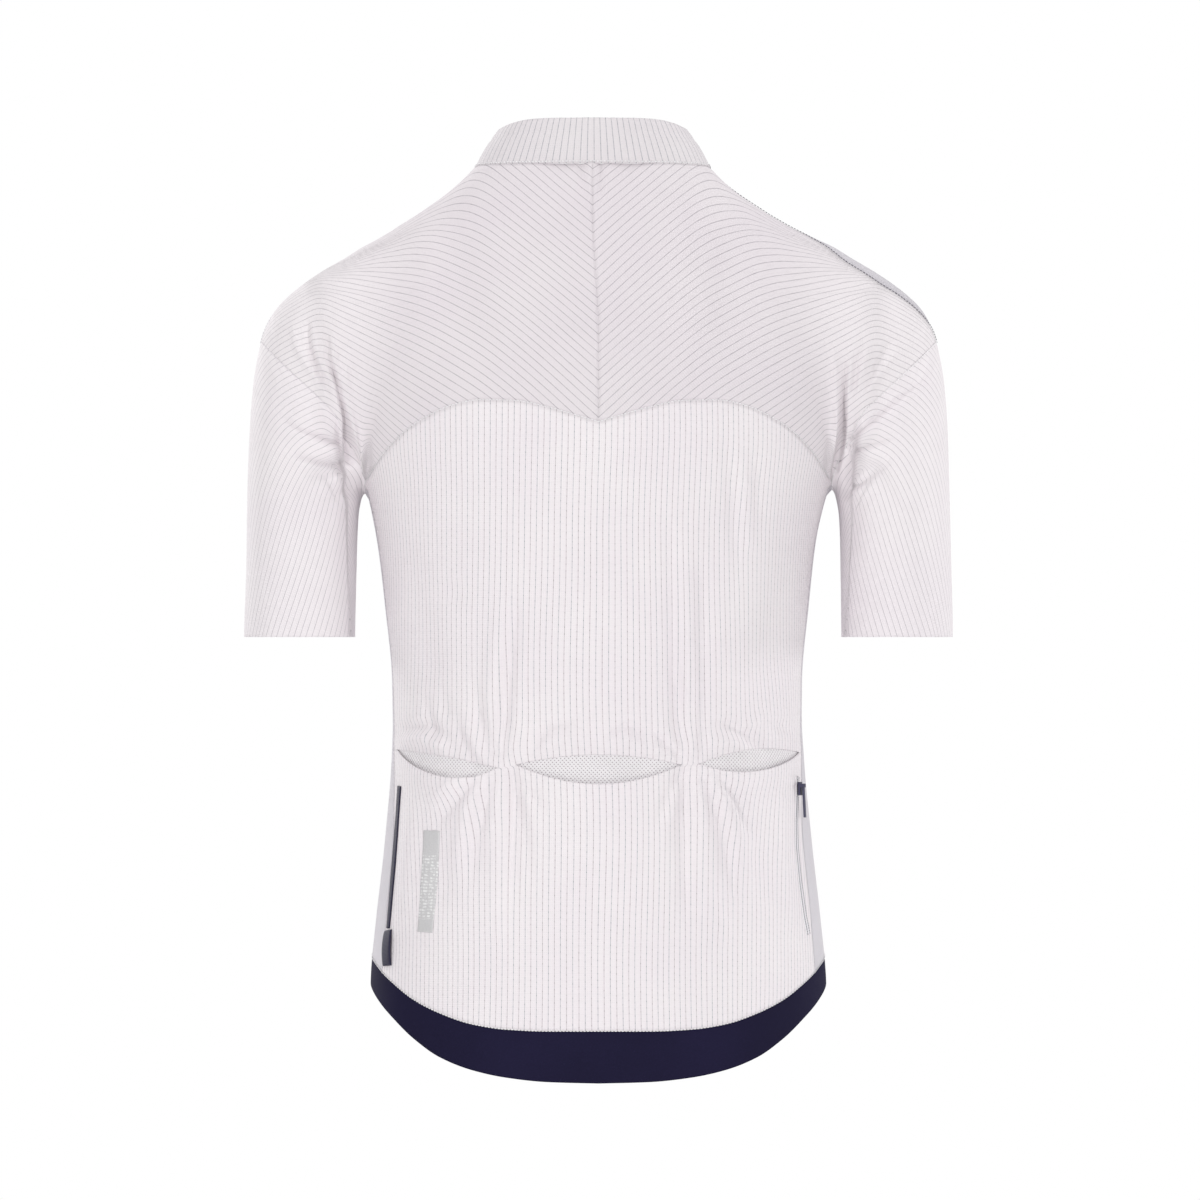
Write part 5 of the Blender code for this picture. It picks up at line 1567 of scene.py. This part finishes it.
class BuildYokes(Piece, bpy.types.Operator):
    """The two halves of the back yoke, their stripes meeting in chevrons"""

    bl_idname = "jersey.yokes"
    bl_label = "Back yokes"

    def execute(self, context):
        kc, kr = 8, 12
        gap = sizes().chevron_gap / MM
        coarse = NECK + SHOULDER
        shares = np.interp(spread(coarse * kc, 0, coarse), range(coarse + 1), COARSE_AT)
        for name, side in SIDES:
            top = np.concatenate([neck_back(side, NECK * kc),
                                  shoulder(side, name, SHOULDER * kc)[1:]])
            seam_z = spread(ARMHOLE * kr, 0, float(yoke_seam(0.0)))
            centre = face_y(torso_offset(seam_z), seam_z, 1)
            bottom = yoke_edge(side, shares)
            centre[0], centre[-1] = top[0], bottom[0]
            grid = fill(top, bottom, centre, armhole(side, "back", name, ARMHOLE * kr), kc, kr)
            points = grid.reshape(-1, 3)
            out = normal(points)
            turn = np.arccos(np.clip(out[:, 1], -1, 1))
            lean = np.stack([side * out[:, 0], out[:, 2]], 1)
            lean /= np.maximum(np.linalg.norm(lean, axis=1, keepdims=True), 1e-6)
            rolled = (ROLL * (turn - np.sin(turn)))[:, None] * lean
            x = side * (points[:, 0] - torso_offset(points[:, 2])) + rolled[:, 0]
            z = points[:, 2] + rolled[:, 1]
            number, along = chevron(np.maximum(x, 0), z)
            number = number + 0.08 * np.sin(x / 29 + z / 47) + 0.05 * np.sin(z / 21 - x / 60)
            sew(f"yoke_{name}_cloth", "back_yoke_" + name, "yoke_cloth", "chevrons", "yoke",
                grid, grid_uv(number * gap, along, gap), outward=out)
        return {"FINISHED"}


class BuildSleeves(Piece, bpy.types.Operator):
    """The two sleeves, from the sleeve seam down to the clean-cut hem"""

    bl_idname = "jersey.sleeves"
    bl_label = "Sleeves"

    def execute(self, context):
        rows, around_arm, under = 96, 12 * ARMHOLE, 24
        full = 2 * math.pi
        gap = sizes().chevron_gap / MM
        for name, side in SIDES:
            loop = np.concatenate([armhole(side, "back", name, around_arm),
                                   crotch(side, under)[1:],
                                   armhole(side, "front", name, around_arm)[::-1][1:-1]])
            # the seam under the arm comes down to the hem between 158 and 202 degrees
            turn = np.radians(np.concatenate([
                spread(around_arm, 0, 158), spread(under, 158, 202)[1:],
                spread(around_arm, 202, 360)[1:-1]]))
            z = SLEEVE_HEM_Z
            middle, half = (arm_inner(z) + arm_outer(z)) / 2, (arm_outer(z) - arm_inner(z)) / 2
            power = 2 / arm_square(z)
            cos, sin = np.cos(turn), np.sin(turn)
            hem = np.stack([
                side * (middle + half * np.sign(cos) * np.abs(cos) ** power),
                arm_middle(z) + arm_depth(z) * np.sign(sin) * np.abs(sin) ** power,
                np.full(len(turn), z)], -1)
            # cut open along the seam under the arm
            start = around_arm + under // 2
            order = [(start + c) % len(turn) for c in range(len(turn))] + [start]
            t = spread(rows)[:, None, None] ** 1.25
            rings = settle((1 - t) * loop[None, order] + t * hem[None, order], 8)
            rings[0], rings[-1] = loop[order], hem[order]
            points = rings.reshape(-1, 3)
            zz = points[:, 2]
            inner, outer = arm_inner(zz), arm_outer(zz)
            across_half, depth = (outer - inner) / 2, arm_depth(zz)
            angle = np.arctan2((points[:, 1] - arm_middle(zz)) / depth,
                               (side * points[:, 0] - (inner + outer) / 2) / across_half)
            angle = angle.reshape(rings.shape[:2])
            angle[:, -1] += np.where(angle[:, -1] < 0, full, 0)
            angle[:, -1] = np.maximum(angle[:, -1], angle[:, -2])
            angle = np.unwrap(angle, axis=1)
            angle -= full * np.round(angle[:, len(order) // 2, None] / full)
            round_r = np.sqrt((across_half ** 2 + depth ** 2) / 2)
            x = (inner + outer) / 2 + round_r * (math.pi / 2 - angle.ravel())
            number, along = chevron(x, zz)
            number = number + 0.09 * np.sin(zz / 31 + x / 23) + 0.05 * np.sin(zz / 17)
            free = np.zeros(rings.shape[:2], bool)
            free[-1] = True
            sew(f"sleeve_{name}_cloth", "sleeve_" + name, "yoke_cloth", "sleeve chevrons",
                "sleeve", rings, grid_uv(number * gap, along, gap), free=free)
        return {"FINISHED"}


class BuildFronts(Piece, bpy.types.Operator):
    """The two plain fronts, each side of the zip"""

    bl_idname = "jersey.fronts"
    bl_label = "Fronts"

    def execute(self, context):
        k = 5
        for name, side in SIDES:
            top = np.concatenate([neck_front(side, NECK * k)[::-1],
                                  shoulder(side, name, SHOULDER * k)[1:]])
            right = np.concatenate([armhole(side, "front", name, ARMHOLE * k),
                                    side_edge(side, "front", TO_MOUTH * k, TO_HEM * k)[1:]])
            bottom = hem_points(hem_angles(COARSE_AT, UNDER, ACROSS * k)[2], 0, side)[::-1]
            left = zip_edge(side, k)
            cut = ARMHOLE * k
            first = 180 - math.degrees(math.asin((TAPE_HALF / 184) ** 1.2))
            chest = around(spread(ACROSS * k, first, 96),
                           spread(ACROSS * k, left[cut][2], right[cut][2]), side)
            chest[0], chest[-1] = left[cut], right[cut]
            grid = np.concatenate([
                fill(top, chest, left[: cut + 1], right[: cut + 1], k, k),
                fill(chest, bottom, left[cut:], right[cut:], k, k)[1:]])
            sew(f"front_{name}_cloth", "front_panel_" + name, "cloth", "plain", "front", grid,
                own_map(grid, KNIT_GAP))
        return {"FINISHED"}


class BuildSides(Piece, bpy.types.Operator):
    """The narrow plain panels under the arms"""

    bl_idname = "jersey.sides"
    bl_label = "Side panels"

    def execute(self, context):
        k = 6
        for name, side in SIDES:
            edges = (side_edge(side, which, TO_MOUTH * k, TO_HEM * k) for which in SIDE_SEAM)
            grid = fill(crotch(side, UNDER * k),
                        hem_points(hem_angles(COARSE_AT, UNDER * k, ACROSS)[1], 0, side),
                        *edges, k, k)
            sew(f"side_{name}_cloth", "side_panel_" + name, "side_cloth", "plain", "side", grid,
                own_map(grid, KNIT_GAP))
        return {"FINISHED"}


def collar_grid(k, rows):
    """The collar's outer face: rows from the seam up, columns from zip to zip."""
    def base_line(n):
        return np.concatenate([
            neck_front(1, n)[::-1], neck_back(1, n)[::-1][1:], neck_back(-1, n)[1:],
            neck_front(-1, n)[1:]])

    base = base_line(NECK)
    middle = np.array([CENTRE, COLLAR_MIDDLE_Y])
    away = base[:, :2] - middle
    reach = np.linalg.norm(away, axis=1)
    # the top edge: how high it is, and how far it leans inwards
    rise = np.interp(np.abs(away[:, 0]), [0, 50, 62, 75, 84, 88],
                     [COLLAR_RISE, 33.8, 33, 31, 28.5, 27.5])
    rise = np.where(base[:, 1] < -12, COLLAR_RISE - 4, rise)
    draw = np.where(base[:, 1] > 0, 12 + 6 * (np.abs(away[:, 0]) / reach) ** 3, 15.5)
    draw = np.where(np.abs(base[:, 1] + 12) < 14, 17.5, draw)
    top = base.copy()
    top[:, :2] -= away / reach[:, None] * draw[:, None]
    top[:, 2] += rise
    lean = refine(top - base, k, 0)
    low = base_line(NECK * k)
    low[:, 2] += 0.15
    grid = low[None] + spread(rows)[:, None, None] * lean[None]
    grid[:, 0, 0], grid[:, -1, 0] = ZIP_TOP_X + TAPE_HALF, ZIP_TOP_X - TAPE_HALF
    out = face_normals(grid.reshape(-1, 3), quads_of(*grid.shape[:2])).reshape(grid.shape)
    if ((grid[..., :2] - middle) * out[..., :2]).sum() < 0:
        out = -out
    bow = 0.9 * np.sin(np.pi * spread(rows))
    return grid + out * bow[:, None, None], out


class BuildCollar(Piece, bpy.types.Operator):
    """The stand collar with its folded top edge"""

    bl_idname = "jersey.collar"
    bl_label = "Collar"

    def execute(self, context):
        grid, out = collar_grid(8, 16)
        t = spread(16)
        turned = -0.35 * np.exp(-(((t - 0.7) / 0.045) ** 2)) + 0.3 * soft_step(0.7, 0.85, t)
        soft = 0.35 * np.sin(grid[..., 0] / 13.0 + 2 * t[:, None]) * np.sin(np.pi * t)[:, None]
        grid = grid + out * (turned[:, None] + soft)[..., None]
        run = run_along(grid[:1], 1)[0]
        gap = sizes().collar_gap / MM
        u = np.broadcast_to(run - run[len(run) // 2] + gap * 0.3, grid.shape[:2])
        v = np.broadcast_to((t * COLLAR_RISE)[:, None], grid.shape[:2])
        free = np.zeros(grid.shape[:2], bool)
        free[-1] = True
        sew("collar_cloth", "collar", "cloth", "collar", "collar", grid, grid_uv(u, v, gap),
            outward=out, free=free, folds=None, wall=1.5)
        return {"FINISHED"}


class BuildHem(Piece, bpy.types.Operator):
    """The navy elastic band round the hem"""

    bl_idname = "jersey.hem"
    bl_label = "Hem band"

    def execute(self, context):
        parts = hem_angles(FINE_AT, *HEM_COLUMNS)
        angles = np.concatenate([parts[0], parts[1][1:], parts[2][1:]])
        grid = []
        for low in spread(14):
            one, two = hem_points(angles, low, 1), hem_points(angles, low, -1)
            grid.append(np.concatenate([one[::-1], two[1:]]))
        grid = np.stack(grid)
        free = np.zeros(grid.shape[:2], bool)
        free[1:] = True
        free[:, 0] = free[:, -1] = False
        sew("hem_grip_band", "hem_band", "hem_grip", "grip", "hem", grid, own_map(grid),
            free=free, folds=0.4 * sizes().folds, wall=1.3)
        return {"FINISHED"}


# --- what is sewn on top -------------------------------------------------------------
def cloth_tree(names):
    """The outer faces of finished panels, to lay things on."""
    points, faces = [], []
    for name in names:
        outer, quads = OUTER[name]
        start = len(points)
        points += [Vector(p) for p in outer]
        faces += [tuple(start + v for v in q) for q in quads]
    return BVHTree.FromPolygons(points, faces)


def laid(tree, point):
    """The nearest point of the cloth and its outward direction."""
    spot, out, _, _ = tree.find_nearest(Vector(point))
    out = np.array(out)
    return np.array(spot), out * np.sign(np.dot(out, normal(np.array(spot))))


def ribbon_grid(tree, line, width, steps, cols, lift, taper=1.0):
    """Points across and along a strip that lies on the cloth, and their way out."""
    line = np.array(line, float)
    t = spread(steps, 0, len(line) - 1)
    middle = face_y(np.interp(t, range(len(line)), line[:, 0]),
                    np.interp(t, range(len(line)), line[:, 1]), 1)
    along = np.gradient(middle, axis=0)
    along /= np.linalg.norm(along, axis=1, keepdims=True)
    across = np.cross(along, normal(middle))
    across /= np.linalg.norm(across, axis=1, keepdims=True)
    grid, outs = [], []
    for k in range(steps + 1):
        wide = width * (1 + (taper - 1) * k / steps)
        for s in spread(cols, -0.5, 0.5):
            spot, out = laid(tree, middle[k] + across[k] * wide * s)
            high = lift(k / steps, s) if callable(lift) else lift
            grid.append(spot + out * high)
            outs.append(out)
    return (np.array(grid).reshape(steps + 1, cols + 1, 3),
            np.array(outs).reshape(steps + 1, cols + 1, 3))


def ribbon(name, node, look, tree, line, width, thick, lift=0.5, steps=60, cols=6,
           taper=1.0):
    """A thin strip on the cloth, with its map in millimetres."""
    def high(t, s):
        base = lift(t, s) if callable(lift) else lift
        return base + thick - 0.35 * thick * (abs(2 * s) ** 6)

    grid, out = ribbon_grid(tree, line, width, steps, cols, high, taper)
    made, _, _ = shell(name, grid, own_map(grid, shift=width / 2), thick, outward=out,
                       groove=0.0)
    dress(made, node, look)


class BuildTrim(Piece, bpy.types.Operator):
    """The navy strip, the loop label and the reflective patch on the wearer's left"""

    bl_idname = "jersey.trim"
    bl_label = "Left trim"

    def execute(self, context):
        tree = cloth_tree(["back_cloth", "side_left_cloth"])
        ribbon("navy_strip", "side_strip_left", "navy tape", tree,
               ((147.6, -467.5), (157.4, -574)), 8.4, 0.8, 0.25, 70, 8, 0.64)
        ribbon("loop_label", "side_label_left", "navy tape", tree,
               ((157.2, -575.5), (158.0, -602)), 12.0, 0.8,
               lambda t, s: 0.5 + 1.5 * math.sin(math.pi * t) ** 0.7, 30, 8)
        ribbon("silver_patch", "reflective_patch", "reflective", tree,
               ((122.6, -500.5), (129.5, -576.5)), 14.6, 0.35, 0.12, 60, 12)
        return {"FINISHED"}


class BuildPocketZip(Piece, bpy.types.Operator):
    """The side pocket's zip: its tape, coil and stitching"""

    bl_idname = "jersey.pocket_zip"
    bl_label = "Pocket zip"

    LINE = ((-147.8, -461), (-147.0, -492), (-147.6, -512), (-150.5, -539), (-154, -565),
            (-156.6, -578))
    WIDTH = 5.6

    def execute(self, context):
        tree = cloth_tree(["back_cloth", "side_right_cloth"])
        # the tape is painted lighter to offset the shade on this side of the jersey
        ribbon("pocket_zip_band", "pocket_zip_tape", "pocket tape", tree,
               self.LINE, self.WIDTH, 0.6, 0.2, 90, 8)
        for name, off, look, pitch, size, slot in (
                ("pocket_zip_coil", 0.09, "pale coil", sizes().tooth / MM * 0.8,
                 (0.75, 1.5, 0.7), "zip_tape"),
                ("pocket_zip_stitches", 0.3, "dark thread", 1.9, (1.45, 0.95, 0.6), None)):
            grid, out = ribbon_grid(tree, self.LINE, off * 2 * self.WIDTH, 90, 1, 0.95)
            paths = [(grid[:, column], out[:, column]) for column in (0, 1)]
            beads_along(name, paths, look, pitch, size)
        return {"FINISHED"}


class BuildFrontZip(Piece, bpy.types.Operator):
    """The front zip: two tapes with their coils, closed up to the collar"""

    bl_idname = "jersey.front_zip"
    bl_label = "Front zip"

    def execute(self, context):
        collar, collar_out = collar_grid(8, 10)
        for name, side in SIDES:
            end = 0 if side > 0 else -1
            body = zip_edge(side, 4)
            angles = hem_angles(COARSE_AT, UNDER, ACROSS)[2]
            low = [hem_points(angles, low, side)[-1] for low in (0.25, 0.5, 0.75, 1)]
            high = collar[::-1, end][:-1]
            line = np.concatenate([high, body, np.array(low)])
            n_high = len(high)
            x_mid = torso_offset(line[:, 2])
            x_mid[:n_high] = ZIP_TOP_X
            mid = line.copy()
            mid[:, 0] = x_mid
            mid[n_high:, 1] = face_y(x_mid[n_high:], line[n_high:, 2], -1)[:, 1]
            out = normal(line)
            out[:n_high] = collar_out[::-1, end][:-1]
            out[:, 0] = 0
            out /= np.linalg.norm(out, axis=1, keepdims=True)
            t = spread(5)[None, :, None]
            grid = line[:, None] * (1 - t) + mid[:, None] * t
            outs = np.repeat(out[:, None], 6, 1)
            rise = 0.25 * np.sin(np.pi * t[..., 0]) - 0.25 * (t[..., 0] < 0.01)
            grid = grid + outs * rise[..., None]
            sew(f"zip_tape_{name}", "front_zip_tape_" + name, "zip_tape", "zip tape", "tape",
                grid, own_map(grid), outward=outs, folds=None, wall=0.8, groove=0.0)
            across = np.array([side, 0, 0])
            beads_along(f"zip_coil_{name}", [(mid + 0.9 * across + out * 0.55, out)], "coil",
                        sizes().tooth / MM, (0.85, 2.7, 1.25), turn=0.18 * side)
            beads_along(f"zip_stitches_{name}", [(line - 1.6 * across + out * 0.2, out)],
                        "thread", sizes().stitch / MM, (2.0, 0.5, 0.4))
        return {"FINISHED"}


class DressSliders(Piece, bpy.types.Operator):
    """Finishes of the two zip sliders and their pulls"""

    bl_idname = "jersey.sliders"
    bl_label = "Sliders and pulls"

    def execute(self, context):
        for node, look in (("front_zip_slider", "metal"), ("front_zip_pull", "pull"),
                           ("pocket_zip_slider", "dark metal"),
                           ("pocket_zip_pull", "navy pull")):
            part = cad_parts[node]
            if not part.material_slots:
                raise RuntimeError(node + " has no material slot")
            for place in part.material_slots:
                place.material = finish(look)
        return {"FINISHED"}


def on_seam(points, lift):
    """Seam points lifted on to the finished cloth, and their way out."""
    out = normal(points)
    high = relief(points, out, sizes().folds) - GROOVE + lift
    return points + out * high[:, None], out


class BuildStitches(Piece, bpy.types.Operator):
    """The seams' visible stitching"""

    bl_idname = "jersey.stitches"
    bl_label = "Seam stitching"

    def execute(self, context):
        pitch = sizes().stitch / MM
        collar, collar_out = collar_grid(8, 34)
        hem = np.concatenate(hem_angles(FINE_AT, *HEM_COLUMNS))
        hem = np.concatenate([hem_points(hem, 0, 1)[::-1], hem_points(hem, 0, -1)[1:]])
        for name, paths, look, wide in (
                ("collar_stitches", [(collar[1] + collar_out[1] * 0.6, collar_out[1])],
                 "thread", 0.95),
                ("hem_stitches", [on_seam(hem, 0.45)], "thread", 0.9),
                ("sleeve_right_stitches", [on_seam(armhole(-1, which, "right", 90), 0.4)
                                           for which in SIDE_SEAM], "thread", 0.7),
                ("sleeve_left_stitches", [on_seam(armhole(1, which, "left", 90), 0.04)
                                          for which in SIDE_SEAM], "soft thread", 0.35),
                # painted shade: dark stitches along the right shoulder seam stand for the shade
                # in the seam's gap
                ("shoulder_right_shade_stitches", [on_seam(shoulder(-1, "right", 80), 0.5)],
                 "dark thread", 0.6),
                ("shoulder_left_stitches", [on_seam(shoulder(1, "left", 80), 0.4)],
                 "soft thread", 0.5),
                ("yoke_stitches", [on_seam(yoke_edge(side, FINE_AT), 0.3)
                                   for _, side in SIDES], "thread", 0.8),
                ("side_stitches", [on_seam(side_edge(side, which, 80, 60), 0.4)
                                   for _, side in SIDES for which in SIDE_SEAM],
                 "soft thread", 0.5)):
            beads_along(name, paths, look, pitch, (pitch * 0.86, wide, 0.5))
        return {"FINISHED"}


FLOOR_Z, FLOOR_RADIUS = -1550.0, 9000.0
WORLD_STRENGTH = 0.61
LIGHTS = (
    # name, place, aim, size in metres, power in watts
    ("key left", (1.8, 3.3, 0.1), (0, 0, -0.35), 0.7, 24),
    ("key right", (-1.8, 3.3, 0.1), (0, 0, -0.35), 0.7, 20),
    ("front left", (2.4, -3.0, 0.6), (0, 0, -0.35), 0.7, 44),
    ("front right", (-3.4, -1.2, 0.0), (0, 0, -0.45), 0.7, 27),
    ("top", (0, 0.3, 2.9), (0, 0, -0.2), 1.6, 27),
)
CAMERA_FAR = 20.0
FRAME_WIDTH = 0.9
CAMERA_AIM = (-0.0011, 0.045, -0.3278)


def aimed(name, data, place, aim):
    """A lamp or camera at a place, turned towards its aim."""
    made = bpy.data.objects.new(name, data)
    made.location = place
    made.rotation_euler = (aim - place).to_track_quat("-Z", "Y").to_euler()
    bpy.context.scene.collection.objects.link(made)
    return made


class BuildStage(Piece, bpy.types.Operator):
    """Floor, soft light and camera"""

    bl_idname = "jersey.stage"
    bl_label = "Stage"

    def execute(self, context):
        scene = context.scene
        n, rings = 96, 24
        points = [(0, 0, FLOOR_Z)]
        for r in range(1, rings + 1):
            far = FLOOR_RADIUS * (r / rings) ** 1.6
            points += [(far * math.cos(turn), far * math.sin(turn), FLOOR_Z)
                       for turn in spread(n, 0, 2 * math.pi)[:-1]]
        faces = [(0, 1 + c, 1 + (c + 1) % n) for c in range(n)]
        floor = raw_mesh("floor", points, faces + quads_of(rings, n, 1, ring=True))
        fix_normals(floor)
        floor.data.materials.append(finish("floor"))
        world = bpy.data.worlds.new("studio")
        world.use_nodes = True
        nodes, links = world.node_tree.nodes, world.node_tree.links
        lit = nodes["Background"]
        lit.inputs["Color"].default_value = (1.0, 0.995, 1.0, 1)
        lit.inputs["Strength"].default_value = WORLD_STRENGTH
        seen = nodes.new("ShaderNodeBackground")
        seen.inputs["Color"].default_value = (1, 1, 1, 1)
        kind, mix = nodes.new("ShaderNodeLightPath"), nodes.new("ShaderNodeMixShader")
        links.new(kind.outputs["Is Camera Ray"], mix.inputs[0])
        links.new(lit.outputs[0], mix.inputs[1])
        links.new(seen.outputs[0], mix.inputs[2])
        links.new(mix.outputs[0], nodes["World Output"].inputs[0])
        scene.world = world
        scene.view_settings.view_transform = "Standard"
        for name, place, aim, size, power in LIGHTS:
            data = bpy.data.lights.new(name, "AREA")
            data.shape, data.size, data.energy = "DISK", size, power
            aimed(name, data, Vector(place), Vector(aim))
        data = bpy.data.cameras.new("camera")
        data.lens, data.sensor_width = 36 * CAMERA_FAR / FRAME_WIDTH, 36.0
        data.clip_start, data.clip_end = 0.1, 100
        aim = Vector(CAMERA_AIM)
        scene.camera = aimed("camera", data, aim + Vector((0, CAMERA_FAR, 0)), aim)
        return {"FINISHED"}


STEPS = (BuildBack, BuildPocketMesh, BuildYokes, BuildSleeves, BuildFronts, BuildSides,
         BuildCollar, BuildHem, BuildTrim, BuildPocketZip, BuildFrontZip, DressSliders,
         BuildStitches, BuildStage)


class JerseyPanel(bpy.types.Panel):
    """Lists the jersey's sizes, colours and steps"""

    bl_idname = "JERSEY_PT_panel"
    bl_label = "Cycling Jersey"
    bl_space_type = "VIEW_3D"
    bl_region_type = "UI"
    bl_category = "Jersey"

    def draw(self, context):
        layout = self.layout
        for group in (context.scene.jersey_sizes, context.scene.jersey_colours):
            box = layout.box()
            for name in group.bl_rna.properties.keys():
                if name not in ("rna_type", "name"):
                    box.prop(group, name)
        for step in STEPS:
            layout.operator(step.bl_idname)


CLASSES = (JerseySizes, JerseyColours) + STEPS + (JerseyPanel,)


def register():
    for kind in CLASSES:
        bpy.utils.register_class(kind)
    bpy.types.Scene.jersey_sizes = bpy.props.PointerProperty(type=JerseySizes)
    bpy.types.Scene.jersey_colours = bpy.props.PointerProperty(type=JerseyColours)


def unregister():
    del bpy.types.Scene.jersey_colours
    del bpy.types.Scene.jersey_sizes
    for kind in reversed(CLASSES):
        bpy.utils.unregister_class(kind)


def main():
    register()
    for step in STEPS:
        group, name = step.bl_idname.split(".")
        getattr(getattr(bpy.ops, group), name)()


if __name__ == "__main__":
    main()
